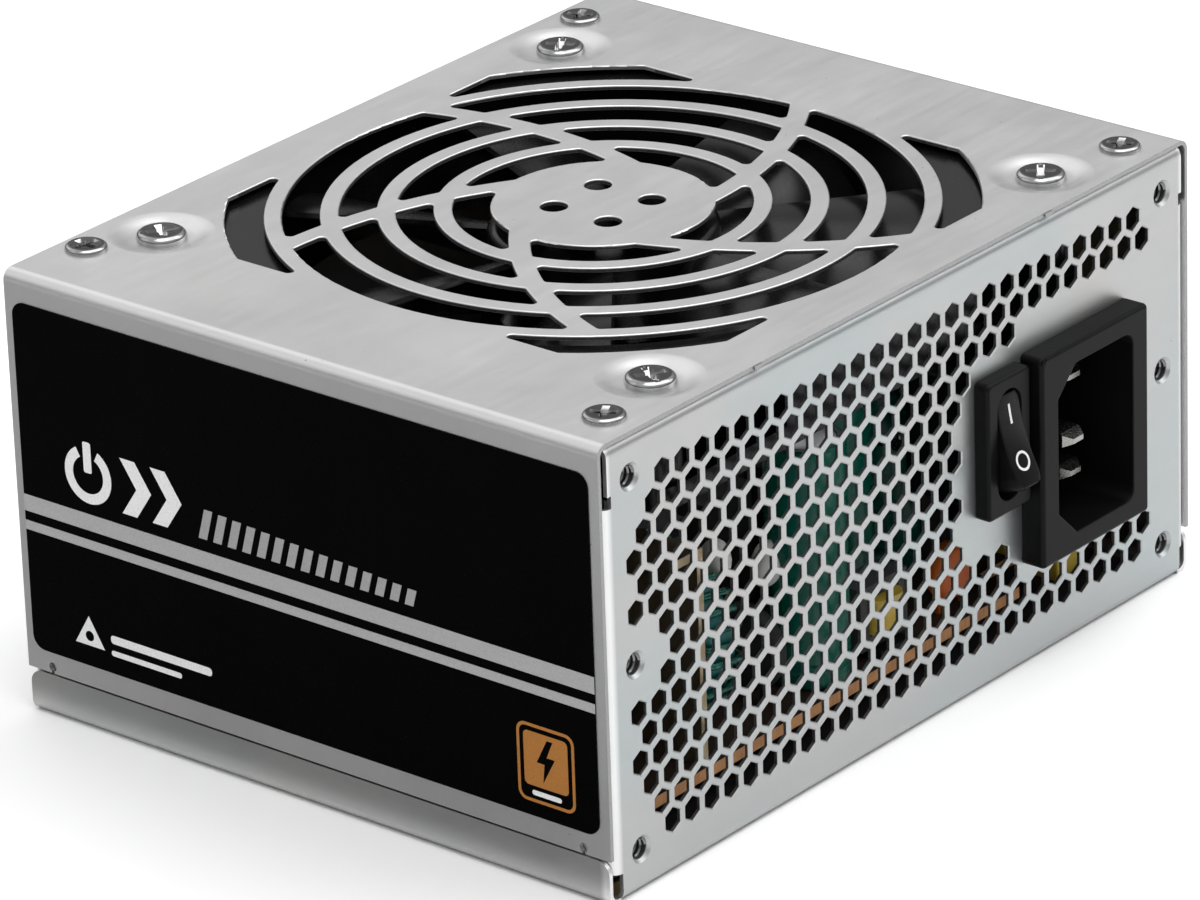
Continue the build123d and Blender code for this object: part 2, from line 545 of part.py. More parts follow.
def switch_housing():
    place = Pos(SWITCH_X, SWITCH_Z)
    flange = wall_shape(place * RectangleRounded(*SWITCH_FLANGE[:2], 0.9), SWITCH_FRONT, -HALF_Y)
    flange = chamfer(flange.faces().sort_by(Axis.Y)[0].outer_wire().edges(), 0.35)
    body = wall_shape(place * RectangleRounded(*SWITCH_BODY, 0.6), -HALF_Y, SWITCH_BACK)
    window = wall_shape(place * Rot(0, 0, 90) * SlotOverall(WINDOW[1], WINDOW[0]),
                        SWITCH_FRONT - 1, SWITCH_FRONT + WINDOW_DEPTH)
    housing = flange + body - window
    housing -= rod_x(PIVOT_R + BEARING_GAP, SWITCH_X - 3.4, SWITCH_X + 3.4, PIVOT_Y, SWITCH_Z)
    for z in switch_tab_heights():
        housing -= block(SWITCH_X - 2.4, SWITCH_X + 2.4, SWITCH_FRONT + WINDOW_DEPTH - 1, SWITCH_BACK + 1,
                         z - 0.4, z + 0.4)
    return housing


def switch_tab_heights():
    return (SWITCH_Z - 4.0, SWITCH_Z + 4.0)


def switch_terminals():
    tabs = []
    for z in switch_tab_heights():
        tab = block(SWITCH_X - 2.4, SWITCH_X + 2.4, SWITCH_FRONT + WINDOW_DEPTH + 0.4, SWITCH_BACK + 6,
                    z - 0.4, z + 0.4)
        tabs.append(tab - Pos(SWITCH_X, SWITCH_BACK + 4, z) * Cylinder(0.8, 3))
    return group(tabs)


def switch_rocker():
    """The rocker, drawn level about its pivot and then tilted to its rest position."""
    end_r = math.hypot(ROCKER_HALF_L, ROCKER_FACE)
    low_n = -1.2
    low_l = math.sqrt(end_r ** 2 - low_n ** 2)
    face = ThreePointArc((-ROCKER_HALF_L, ROCKER_FACE), (0, ROCKER_FACE - ROCKER_HOLLOW),
                         (ROCKER_HALF_L, ROCKER_FACE))
    right = ThreePointArc((ROCKER_HALF_L, ROCKER_FACE), (end_r * math.cos(0.12), end_r * math.sin(0.12)),
                          (low_l, low_n))
    under = Polyline((low_l, low_n), (2.6, -3.6), (-2.6, -3.6), (-low_l, low_n))
    left = ThreePointArc((-low_l, low_n), (-end_r * math.cos(0.12), end_r * math.sin(0.12)),
                         (-ROCKER_HALF_L, ROCKER_FACE))
    profile = make_face([face, right, *under.edges(), left])
    # level frame: local x is up the panel, local y points out of it
    side_plane = Plane(origin=(0, 0, 0), x_dir=(0, 0, 1), z_dir=(1, 0, 0))
    slab = extrude(side_plane * profile, ROCKER_HALF_W, both=True)
    plan = SlotOverall(2 * (end_r - 0.35), 2 * ROCKER_HALF_W)
    plan = Plane(origin=(0, 6, 0), x_dir=(0, 0, 1), z_dir=(0, -1, 0)) * plan
    slab &= extrude(plan, 14)
    rocker = slab + rod_x(PIVOT_R, -3.3, 3.3, 0, 0)
    return Pos(SWITCH_X, PIVOT_Y, SWITCH_Z) * Rot(-ROCKER_TILT, 0, 0) * rocker


# ---- main board and what stands on it -------------------------------------------------------
def main_circuit_board():
    board = block(-BOARD_HALF_X, BOARD_HALF_X, -BOARD_HALF_Y, BOARD_HALF_Y, BOARD_Z, BOARD_TOP)
    board -= block(28, BOARD_HALF_X + 1, -BOARD_HALF_Y - 1, -40, BOARD_Z - 1, BOARD_TOP + 1)
    for x, y in STANDOFFS:
        board -= disc(1.6, BOARD_Z - 1, BOARD_TOP + 1, x, y)
    return board


def board_standoffs():
    posts = []
    for x, y in STANDOFFS:
        post = extrude(Pos(x, y, SHEET) * RegularPolygon(2.75, 6, major_radius=False), BOARD_Z - SHEET)
        posts.append(post - disc(1.45, SHEET + 1, BOARD_Z + 1, x, y))
    return group(posts)


def insulation_sheet():
    film = block(-58.5, 58.5, -46.0, 46.0, SHEET, SHEET + 0.4)
    for x, y in STANDOFFS:
        film -= disc(4.0, 0, 3, x, y)
    return film


def can(x, y, radius, height):
    """An electrolytic capacitor: sleeve with a rolled groove near its foot and a dished top."""
    top = BOARD_TOP + height
    body = disc(radius, BOARD_TOP, top, x, y)
    body = fillet(body.edges().filter_by(GeomType.CIRCLE), 0.6)
    groove = Pos(x, y, BOARD_TOP + 3.0) * Torus(radius + 0.35, 0.8)
    dish = disc(radius - 1.2, top - 0.3, top + 1, x, y)
    return body - groove - dish


def primary_capacitors():
    return group(can(x, y, *PRIMARY_CAN) for x, y in PRIMARY_CAN_PLACES)


def output_capacitors():
    places = [(OUTPUT_CAN_X + OUTPUT_CAN_PITCH * k, 38.0) for k in range(6)]
    places += [(OUTPUT_CAN_X + OUTPUT_CAN_PITCH * k, 27.0) for k in range(1, 5)]
    return group(can(x, y, *OUTPUT_CAN) for x, y in places)


def choke_turn(core_r, hole_r, height, wire_r):
    """One turn around a toroid that lies flat at the origin, where it crosses the X axis."""
    clear = 0.05
    half = height / 2 + clear
    outer = block(hole_r - clear - 2 * wire_r, core_r + clear + 2 * wire_r, -wire_r, wire_r,
                  -half - 2 * wire_r, half + 2 * wire_r)
    inner = block(hole_r - clear, core_r + clear, -2 * wire_r, 2 * wire_r, -half, half)
    turn = outer - inner
    return fillet(turn.edges().filter_by(Axis.Y), wire_r * 0.9)


def standing_choke(x, y, core_r, hole_r, depth, turns, wire_r):
    """A toroid on edge, its axis along X: core and wound turns as separate shapes."""
    z = BOARD_TOP + core_r + 2 * wire_r + 0.5
    core = rod_x(core_r, x - depth / 2, x + depth / 2, y, z) - rod_x(hole_r, x - depth, x + depth, y, z)
    core = fillet(core.edges().filter_by(GeomType.CIRCLE), 1.0)
    turn = choke_turn(core_r, hole_r, depth, wire_r)
    gap = 30                                  # degrees left bare each side of the lowest point
    step = (360 - 2 * gap) / (turns - 1)
    upright = Pos(x, y, z) * Rot(0, 90, 0)
    return core, group(upright * Rot(0, 0, gap + k * step) * turn for k in range(turns))


def flat_choke(x, y, core_r, hole_r, height, turns, wire_r):
    """A toroid lying flat on the board."""
    z = BOARD_TOP + height / 2 + 2 * wire_r + 0.3
    core = tube(core_r, hole_r, z - height / 2, z + height / 2, x, y)
    core = fillet(core.edges().filter_by(GeomType.CIRCLE), 1.0)
    turn = choke_turn(core_r, hole_r, height, wire_r)
    return core, group(Pos(x, y, z) * Rot(0, 0, k * 360 / turns) * turn for k in range(turns))


def bobbin_transformer(x, y, size_x, size_y, height):
    """Core with an outer yoke, and the taped winding inside it."""
    z0, z1 = BOARD_TOP + 1.5, BOARD_TOP + height
    leg, clear = size_x * 0.18, 0.2
    half_x, half_y = size_x / 2, size_y / 2
    core = block(-half_x, half_x, -size_y * 0.28, size_y * 0.28, z0, z1)
    core -= block(leg - half_x, half_x - leg, -size_y, size_y, z0 + leg, z1 - leg)
    inset = leg + clear
    winding = block(inset - half_x, half_x - inset, -half_y, half_y, z0 + inset, z1 - inset)
    winding = fillet(winding.edges().filter_by(Axis.Z), 2.0)
    foot = block(-size_x * 0.32, size_x * 0.32, -half_y, half_y, BOARD_TOP, z0)
    place = Pos(x, y, 0)
    return place * core, place * winding, place * foot


def heatsink(x0, x1, y, fins_towards):
    """An upright plate with a row of folded fingers along its top."""
    half, top, pitch = HEATSINK_HALF_T, HEATSINK_TOP, 5.0
    plate = block(x0, x1, y - half, y + half, BOARD_TOP, top)
    low, high = sorted((y, y + fins_towards * 9))
    plate += block(x0, x1, low, high, top - 2 * half, top)
    for k in range(1, round((x1 - x0) / pitch)):
        slot_x = x0 + pitch * k
        slot = block(slot_x - 0.6, slot_x + 0.6, low - 2, high + 2, top - 12, top + 1)
        plate -= slot - block(slot_x - 1, slot_x + 1, y - half, y + half, top - 13, top - 3)
    return plate


def bridge_heatsink():
    """An upright plate across the board beside the input choke, with a folded and notched top."""
    (x0, x1), top = BRIDGE_PLATE_X, BRIDGE_TOP
    plate = block(x0, x1, *BRIDGE_PLATE_Y, BOARD_TOP, top)
    plate += block(x0 - 4.6, x1, *BRIDGE_PLATE_Y, top - (x1 - x0), top)
    return plate - block(x0 - 6, x0 - 1.3, -38, -36.5, top - 2, top + 1)


def bridge_rectifier():
    """A flat four-legged bridge, clamped to the plate's outer face."""
    back = BRIDGE_PLATE_X[0]
    device = block(back - 3.8, back, -35.0, -24.0, DEVICE_FOOT, DEVICE_FOOT + 16)
    device = chamfer(device.edges().filter_by(Axis.X).group_by(Axis.Z)[-1], 1.5)
    for k in range(4):
        y = -33.6 + 2.75 * k
        device += block(back - 2.4, back - 1.6, y - 0.5, y + 0.5, BOARD_TOP, DEVICE_FOOT)
    return device


def power_device(x, back):
    """A package clamped to a heatsink's -Y face, standing on three legs."""
    leg_y = back - DEVICE_T / 2
    device = block(x - 5, x + 5, back - DEVICE_T, back, DEVICE_FOOT, DEVICE_TOP)
    for leg in (-2.54, 0, 2.54):
        device += block(x + leg - 0.5, x + leg + 0.5, leg_y - 0.3, leg_y + 0.3, BOARD_TOP, DEVICE_FOOT)
    return device


def ceramic_disc(x, y, radius, along_x):
    """A disc capacitor or varistor, standing on its leads."""
    z = BOARD_TOP + radius + 1.5
    body = rod_y(radius, y - 1.5, y + 1.5, x, z)
    body = fillet(body.edges().filter_by(GeomType.CIRCLE), 1.2)
    for lead_x in (x - LEAD_REACH, x + LEAD_REACH):
        body += block(lead_x - LEAD_HALF, lead_x + LEAD_HALF, y - LEAD_HALF, y + LEAD_HALF, BOARD_TOP, z)
    turn = 90 if along_x else 0
    return Pos(x, y, 0) * Rot(0, 0, turn) * Pos(-x, -y, 0) * body


def boxed_capacitor(x0, x1, y0, y1, height):
    body = block(x0, x1, y0, y1, BOARD_TOP, BOARD_TOP + height)
    return fillet(body.edges().filter_by(Axis.Z) + body.edges().group_by(Axis.Z)[-1], 0.6)


def fuse():
    """A glass fuse with metal end caps, lying in two clips."""
    x, z, cap_r, cap_length = FUSE_X, BOARD_TOP + 4.2, 2.6, 5.0
    body = rod_y(cap_r - 0.2, *FUSE_Y, x, z)
    for y in (FUSE_Y[0] + cap_length / 2, FUSE_Y[1] - cap_length / 2):
        body += rod_y(cap_r, y - cap_length / 2, y + cap_length / 2, x, z)
        body += block(x - cap_r, x + cap_r, y - 0.6, y + 0.6, BOARD_TOP, z)
    return body


def control_board():
    """An upright daughter board with the controller chips on its inner face."""
    card = block(*CARD_X, *CARD_Y, BOARD_TOP, CARD_TOP)
    face = CARD_X[1]
    for y, z in ((12, 20), (24, 20), (18, 29)):
        card += block(face, face + 1.6, y - 4, y + 4, z - 2.5, z + 2.5)
    return card


def fan_header():
    shell = block(-2.75, 2.75, -1.75, 1.75, 0, 6)
    socket = block(-1.95, 1.95, -1.05, 1.05, 2, 7)
    return Pos(HEADER_X, HEADER_Y, BOARD_TOP) * (shell - socket)


def fan_lead():
    """Two thin wires from the fan motor's board down to the header."""
    wires = []
    for shift in (-0.9, 0.9):
        x = HEADER_X + shift
        points = [(x, 46.9, 45.0), (x, 46.9, 30.0), (x, 44.6, 22.0), (x, 43.2, 14.0), (x, 43.2, 11.7)]
        wires.append(wire(points, 0.6, [4.0, 6.0, 0.9]))
    return group(wires)


def inlet_wires():
    """Mains wires inside the casing: inlet to switch, switch to board, inlet to board."""
    places = pin_places()
    runs = []
    tab_y = INLET_BACK + 7.6
    for name, land in (("live", (47.0, -22.0)), ("neutral", (47.0, -27.0)), ("earth", (33.0, -19.0))):
        x, z = places[name]
        land_x, land_y = land[0], land[1] + 4
        points = [(x, tab_y, z), (x, tab_y + 4.5, z), (land_x, land_y, z - 8), (land_x, land_y, BOARD_TOP)]
        runs.append(wire(points, 0.9, [2.0, 2.5]))
    return group(runs)


# ---- build --------------------------------------------------------------------------------
def board_parts():
    """Everything soldered to the main board."""
    choke_core, choke_winding = standing_choke(
        x=-33.5, y=-33.5, core_r=12.0, hole_r=6.5, depth=6.0, turns=19, wire_r=0.6)
    filter_core, filter_winding = flat_choke(
        x=-36.4, y=22.0, core_r=10.5, hole_r=5.5, height=9.0, turns=16, wire_r=0.7)
    main_core, main_winding, main_foot = bobbin_transformer(
        x=-4.0, y=0.8, size_x=32.0, size_y=26.0, height=30.0)
    aux_core, aux_winding, aux_foot = bobbin_transformer(
        x=27.0, y=4.0, size_x=17.0, size_y=16.0, height=17.0)
    gate_core, gate_winding, gate_foot = bobbin_transformer(
        x=1.6, y=-42.0, size_x=10.0, size_y=8.4, height=10.5)
    disc_by_panel = ceramic_disc(x=17.5, y=-43.0, radius=4.0, along_x=False)
    disc_by_inlet = ceramic_disc(x=43.0, y=8.0, radius=4.0, along_x=True)
    primary_y, secondary_y = -19.0, 20.0      # the two heatsinks' planes
    return {
        "primary_capacitors": primary_capacitors(),
        "output_capacitors": output_capacitors(),
        "input_choke_core": choke_core,
        "input_choke_winding": choke_winding,
        "output_choke_core": filter_core,
        "output_choke_winding": filter_winding,
        "main_transformer_core": main_core,
        "main_transformer_winding": main_winding,
        "main_transformer_bobbin": main_foot,
        "standby_transformer_core": aux_core,
        "standby_transformer_winding": aux_winding,
        "standby_transformer_bobbin": aux_foot,
        "gate_transformer_core": gate_core,
        "gate_transformer_winding": gate_winding,
        "gate_transformer_bobbin": gate_foot,
        "bridge_heatsink": bridge_heatsink(),
        "bridge_rectifier": bridge_rectifier(),
        "primary_heatsink": heatsink(-26.0, 14.0, primary_y, 1),
        "secondary_heatsink": heatsink(-24.0, 16.0, secondary_y, -1),
        "primary_transistors": group(power_device(x, primary_y - HEATSINK_HALF_T) for x in (-20, -6, 8)),
        "secondary_rectifiers": group(power_device(x, secondary_y - HEATSINK_HALF_T) for x in (-18, 10)),
        "x_capacitor": boxed_capacitor(36.0, 50.0, -10.0, -1.5, 14.5),
        "filter_capacitor": boxed_capacitor(35.0, 48.0, -39.5, -34.5, 6.0),
        "y_capacitors": group((disc_by_panel, disc_by_inlet)),
        "inrush_thermistor": ceramic_disc(x=-20.0, y=-38.5, radius=6.0, along_x=True),
        "fuse": fuse(),
        "control_board": control_board(),
        "fan_header": fan_header(),
    }


def all_parts():
    parts = {
        "chassis_tray": chassis_tray(),
        "top_cover": top_cover(),
        "side_label": side_label(),
        "cable_grommet": cable_grommet(),
        "cover_screws": cover_screws(),
        "fan_screws": fan_screws(),
        "fan_frame": fan_frame(),
        "fan_impeller": fan_impeller(),
        "fan_yoke": fan_yoke(),
        "fan_magnet": fan_magnet(),
        "fan_shaft": fan_shaft(),
        "fan_bearing": fan_bearing(),
        "fan_stator": fan_stator(),
        "fan_coils": fan_coils(),
        "fan_circuit_board": fan_circuit_board(),
        "fan_lead": fan_lead(),
        "inlet_housing": inlet_housing(),
        "inlet_live_pin": inlet_pin("live", 4.9),
        "inlet_neutral_pin": inlet_pin("neutral", 4.9),
        "inlet_earth_pin": inlet_pin("earth", 1.5),
        "inlet_capacitor": inlet_capacitor(),
        "inlet_wires": inlet_wires(),
        "switch_housing": switch_housing(),
        "switch_rocker": switch_rocker(),
        "switch_terminals": switch_terminals(),
        "main_circuit_board": main_circuit_board(),
        "board_standoffs": board_standoffs(),
        "board_screws": board_screws(),
        "insulation_sheet": insulation_sheet(),
    }
    parts.update(board_parts())
    return parts


os.makedirs("parts", exist_ok=True)
for node, shape in all_parts().items():
    export_step(shape, f"parts/{node}.step")
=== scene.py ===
import json
import math
import random

import bmesh
import bpy
from mathutils import Matrix, Vector


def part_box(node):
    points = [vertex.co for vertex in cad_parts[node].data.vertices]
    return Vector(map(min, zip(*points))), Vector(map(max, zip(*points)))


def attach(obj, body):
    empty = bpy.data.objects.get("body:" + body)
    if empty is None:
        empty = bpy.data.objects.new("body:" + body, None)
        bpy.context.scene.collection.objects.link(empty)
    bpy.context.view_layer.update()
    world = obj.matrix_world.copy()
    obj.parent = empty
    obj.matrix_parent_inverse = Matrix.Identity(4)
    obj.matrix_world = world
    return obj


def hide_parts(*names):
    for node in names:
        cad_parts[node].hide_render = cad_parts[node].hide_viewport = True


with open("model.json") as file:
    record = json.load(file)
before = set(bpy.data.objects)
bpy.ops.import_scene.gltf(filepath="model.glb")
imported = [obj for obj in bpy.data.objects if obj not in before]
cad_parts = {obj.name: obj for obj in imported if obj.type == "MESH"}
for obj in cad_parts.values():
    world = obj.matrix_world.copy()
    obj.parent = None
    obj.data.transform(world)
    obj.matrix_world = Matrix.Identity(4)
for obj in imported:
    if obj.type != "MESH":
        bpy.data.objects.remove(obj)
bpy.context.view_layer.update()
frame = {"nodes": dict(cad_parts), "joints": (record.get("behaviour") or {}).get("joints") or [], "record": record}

MM = 0.001
CASE = (125.0, 100.0, 63.5)
SHEET = 0.6
nodes = frame["nodes"]


# ---- camera -------------------------------------------------------------------------------
# fitted to the corners seen in the photo: millimetres of lens, metres, and directions in the picture
CAMERA_LENS, CAMERA_SENSOR = 240.3, 36.0
CAMERA_PLACE = (-0.75128, -0.62825, 0.46156)
CAMERA_RIGHT = (0.63153, -0.7747, -0.03175)
CAMERA_UP = (0.33235, 0.23348, 0.9138)


def make_camera():
    data = bpy.data.cameras.new("camera")
    data.sensor_width = CAMERA_SENSOR
    data.lens = CAMERA_LENS
    data.clip_start, data.clip_end = 0.05, 30.0
    camera = bpy.data.objects.new("camera", data)
    bpy.context.scene.collection.objects.link(camera)
    right = Vector(CAMERA_RIGHT).normalized()
    up = Vector(CAMERA_UP)
    back = right.cross(up).normalized()
    up = back.cross(right)
    place = Matrix((right, up, back)).transposed().to_4x4()
    place.translation = Vector(CAMERA_PLACE)
    camera.matrix_world = place
    bpy.context.scene.camera = camera


# ---- node helpers -------------------------------------------------------------------------
RANGE_SOCKETS = ("From Min", "From Max", "To Min", "To Max")


class Surface:
    """A procedural material: noise, ramps and bump built in row-frame millimetres."""

    def __init__(self, name, colour, roughness, metallic=0.0, **extra):
        self.material = bpy.data.materials.new(name)
        self.material.use_nodes = True
        self.tree = self.material.node_tree
        self.shader = self.tree.nodes["Principled BSDF"]
        self.shader.inputs["Base Color"].default_value = (*colour, 1)
        self.shader.inputs["Roughness"].default_value = roughness
        self.shader.inputs["Metallic"].default_value = metallic
        for socket, value in extra.items():
            self.shader.inputs[socket.replace("_", " ")].default_value = value
        self.material.diffuse_color = (*colour, 1)
        self.coords = self.node("ShaderNodeTexCoord").outputs["Object"]
        self.last_normal = None

    def node(self, kind, **settings):
        made = self.tree.nodes.new(kind)
        for key, value in settings.items():
            setattr(made, key, value)
        return made

    def link(self, source, target):
        self.tree.links.new(source, target)

    def feed(self, socket, source):
        if hasattr(source, "is_linked") or hasattr(source, "links"):
            self.link(source, socket)
        else:
            socket.default_value = source

    def stretched(self, x, y, z):
        mapping = self.node("ShaderNodeMapping")
        mapping.inputs["Scale"].default_value = (x, y, z)
        self.link(self.coords, mapping.inputs["Vector"])
        return mapping.outputs["Vector"]

    def noise(self, size, detail=3.0, rough=0.55, coords=None, warp=0.0):
        """Cloudy noise whose blobs are about size millimetres across."""
        made = self.node("ShaderNodeTexNoise")
        made.inputs["Scale"].default_value = 1.0 / (size * MM)
        made.inputs["Detail"].default_value = detail
        made.inputs["Roughness"].default_value = rough
        made.inputs["Distortion"].default_value = warp
        self.link(coords or self.coords, made.inputs["Vector"])
        return made.outputs["Fac"]

    def cells(self, size):
        made = self.node("ShaderNodeTexVoronoi")
        made.inputs["Scale"].default_value = 1.0 / (size * MM)
        self.link(self.coords, made.inputs["Vector"])
        return made.outputs["Distance"]

    def wave(self, size, axis, warp=0.0, profile="SIN"):
        made = self.node("ShaderNodeTexWave", wave_type="BANDS", bands_direction=axis,
                         wave_profile=profile)
        made.inputs["Scale"].default_value = 0.314 / (size * MM)
        made.inputs["Distortion"].default_value = warp
        self.link(self.coords, made.inputs["Vector"])
        return made.outputs["Fac"]

    def ramp(self, source, *stops):
        made = self.node("ShaderNodeValToRGB")
        band = made.color_ramp
        while len(band.elements) < len(stops):
            band.elements.new(0.5)
        for element, (place, colour) in zip(band.elements, stops):
            element.position = place
            tone = colour if isinstance(colour, tuple) else (colour,) * 3
            element.color = (*tone, 1)
        self.link(source, made.inputs["Fac"])
        return made.outputs["Color"]

    def span(self, source, low, high, lowest=0.0, highest=1.0):
        made = self.node("ShaderNodeMapRange")
        for socket, value in zip(RANGE_SOCKETS, (low, high, lowest, highest)):
            made.inputs[socket].default_value = value
        self.link(source, made.inputs["Value"])
        return made.outputs["Result"]

    def maths(self, operation, a, b=0.0):
        made = self.node("ShaderNodeMath", operation=operation)
        for socket, value in zip(made.inputs, (a, b)):
            self.feed(socket, value)
        return made.outputs["Value"]

    def mix(self, amount, a, b):
        made = self.node("ShaderNodeMix", data_type="RGBA")
        self.feed(made.inputs[0], amount)
        for socket, value in zip((made.inputs[6], made.inputs[7]), (a, b)):
            self.feed(socket, (*value, 1) if isinstance(value, tuple) else value)
        return made.outputs[2]

    def axis(self, index):
        split = self.node("ShaderNodeSeparateXYZ")
        self.link(self.coords, split.inputs[0])
        return split.outputs[index]

    def bump(self, height, strength, depth):
        """Adds relief depth millimetres deep to whatever relief is there already."""
        made = self.node("ShaderNodeBump")
        made.inputs["Strength"].default_value = strength
        made.inputs["Distance"].default_value = depth * MM
        self.link(height, made.inputs["Height"])
        if self.last_normal is not None:
            self.link(self.last_normal, made.inputs["Normal"])
        self.last_normal = made.outputs["Normal"]
        self.link(self.last_normal, self.shader.inputs["Normal"])

    def colour(self, source):
        self.link(source, self.shader.inputs["Base Color"])

    def rough(self, source):
        self.link(source, self.shader.inputs["Roughness"])


# ---- finishes -----------------------------------------------------------------------------
def plated_steel(name, pale, dark, cool, warm, roughness, cut=None, bend_highlight=None):
    """Zinc-plated sheet: cloudy tone, fine grain, passivation tinges, tiny dark specks.
    The cut mask gives where the sheet was cut, which is unplated and darker, and darker still as painted shade on
    the walls inside holes and slots;
    the fold mask gives where it was folded, which gets a painted highlight, a paler colour standing in for the
    light the fold catches."""
    s = Surface(name, pale, roughness, 0.93)
    cloud = s.noise(22, 4, 0.6, warp=0.4)
    tone = s.ramp(cloud, (0.30, dark), (0.70, pale))
    # the tinge is strongest on the inlet panel
    front = s.span(s.axis(1), -48 * MM, -49 * MM, 0.2, 1.0)
    tinge = s.span(s.noise(46, 2, 0.5, s.stretched(1.0, 1.0, 1.5)), 0.40, 0.62, 0.0, 0.75)
    tone = s.mix(s.maths("MULTIPLY", tinge, front), tone, cool)
    warmth = s.span(s.noise(31, 2, 0.5, s.stretched(1.3, 1.0, 1.0)), 0.52, 0.70, 0.0, 0.55)
    tone = s.mix(warmth, tone, warm)
    grain = s.noise(0.35, 2, 0.6)
    tone = s.mix(s.span(grain, 0.2, 0.8, 0.0, 0.06), tone, (0.30, 0.31, 0.32))
    speck = s.span(s.cells(2.6), 0.035, 0.055, 1.0, 0.0)
    few = s.span(s.noise(9, 1), 0.56, 0.62, 0.0, 0.7)
    tone = s.mix(s.maths("MULTIPLY", speck, few), tone, (0.12, 0.12, 0.12))
    streak = s.noise(1.4, 3, 0.6, s.stretched(0.12, 1.0, 1.0))
    rough = s.span(s.maths("ADD", streak, cloud), 0.6, 1.4, roughness - 0.05, roughness + 0.07)
    # painted highlight: the folded bends take a paler colour standing in for the light they catch
    if bend_highlight is not None:
        tone = s.mix(bend_highlight(s), tone, (0.88, 0.88, 0.88))
    # the cut edges are unplated steel; their dark colour is partly painted shade on the walls inside holes and
    # slots
    if cut is not None:
        sheared_and_shaded = cut(s)
        torn = s.noise(0.12, 2, 0.6, s.stretched(1.0, 0.3, 0.3))
        bare_and_shaded = s.ramp(torn, (0.3, (0.10, 0.10, 0.10)), (0.7, (0.20, 0.20, 0.21)))
        tone = s.mix(sheared_and_shaded, tone, bare_and_shaded)
        rough = s.maths("ADD", rough, s.maths("MULTIPLY", sheared_and_shaded, 0.15))
    s.colour(tone)
    s.rough(rough)
    s.bump(grain, 0.16, 0.02)
    s.bump(s.noise(6, 2), 0.10, 0.06)
    return s.material


PANEL_FLAT = 54.2                  # half the width of the inlet panel's middle, clear of its screw holes


def between(s, value, low, high):
    above = s.maths("GREATER_THAN", value, low * MM)
    return s.maths("MULTIPLY", above, s.maths("LESS_THAN", value, high * MM))


def tray_cut_and_shade(s):
    """Inside the thickness of the inlet panel, away from its bent edges, and inside its screw holes: cut edges,
    darkened partly as painted shade on the walls of the hexagon holes and the screw holes.
    """
    wall = CASE[1] / 2
    across = between(s, s.axis(0), -PANEL_FLAT, PANEL_FLAT)
    up = between(s, s.axis(2), 3.0, 60.0)
    through = between(s, s.axis(1), 0.16 - wall, SHEET - 0.03 - wall)
    panel = s.maths("MULTIPLY", across, through)
    # the walls inside the screw holes are darkened as painted shade
    screws = between(s, s.maths("ABSOLUTE", s.axis(0)), PANEL_FLAT, 58.8)
    inside = between(s, s.axis(1), 0.42 - wall, 3.0 - wall)
    cut_and_shade_mask = s.maths("MAXIMUM", panel, s.maths("MULTIPLY", screws, inside))
    return s.maths("MULTIPLY", cut_and_shade_mask, up)


def tray_bend_highlight(s):
    """The outside of the inlet panel's two upright bends, which get a painted highlight: a paler colour standing
    in for the light the bends catch.
    """
    bend_highlight = s.span(s.maths("ABSOLUTE", s.axis(0)), 60.1 * MM, 60.9 * MM)
    front = s.span(s.axis(1), -48.0 * MM, -48.8 * MM)
    return s.maths("MULTIPLY", s.maths("MULTIPLY", bend_highlight, front), 0.75)


def cover_cut_and_shade(s):
    """Inside the thickness of the fan grille, and along the top sheet's front and rear edges: cut edges, darkened
    partly as painted shade on the walls of the grille's slots.
    """
    away = s.node("ShaderNodeVectorMath", operation="LENGTH")
    s.link(s.stretched(1.0, 1.0, 0.0), away.inputs[0])
    grille = s.maths("LESS_THAN", away.outputs["Value"], 49.0 * MM)
    ends = s.maths("GREATER_THAN", s.maths("ABSOLUTE", s.axis(1)), 49.88 * MM)
    depth = between(s, s.axis(2), CASE[2] - SHEET + 0.03, CASE[2] - 0.21)
    return s.maths("MAXIMUM", s.maths("MULTIPLY", grille, depth), s.maths("MULTIPLY", ends, 0.6))


def moulded(name, colour, roughness, grain=0.35, depth=0.012, lift=(0.02, 0.02, 0.022), gloss=0.25):
    """Moulded plastic: fine spark-eroded grain, and slightly worn, paler patches."""
    s = Surface(name, colour, roughness)
    s.shader.inputs["Specular IOR Level"].default_value = gloss
    haze = s.noise(7, 3, 0.6)
    paler = tuple(a + b for a, b in zip(colour, lift))
    s.colour(s.ramp(haze, (0.35, colour), (0.75, paler)))
    texture = s.noise(grain, 2, 0.6)
    s.rough(s.span(s.maths("ADD", texture, haze), 0.5, 1.5, roughness - 0.06, roughness + 0.08))
    s.bump(texture, 0.35, depth)
    return s.material


def bright_metal(name, colour, roughness, stain=(0.25, 0.25, 0.26), relief=1.0, painted_top_shade=None):
    """Machined or plated metal; the optional top colour is a painted reflection: the dark colour given to faces
    that look straight up, standing in for the dark surroundings they reflect.
    """
    s = Surface(name, colour, roughness, 1.0)
    cloud = s.noise(1.2, 3, 0.6)
    tone = s.mix(s.span(cloud, 0.45, 0.8, 0.0, 0.45), colour, stain)
    # painted reflection: faces that look straight up take the dark top colour
    if painted_top_shade is not None:
        split = s.node("ShaderNodeSeparateXYZ")
        s.link(s.node("ShaderNodeTexCoord").outputs["Normal"], split.inputs[0])
        tone = s.mix(s.span(split.outputs["Z"], 0.93, 0.985, 0.0, 0.85), tone, painted_top_shade)
    s.colour(tone)
    s.rough(s.span(s.noise(0.35, 3, 0.6), 0.3, 0.7, roughness - 0.04, roughness + 0.10))
    s.bump(s.noise(0.5, 3, 0.6), 0.12 * relief, 0.02)
    return s.material


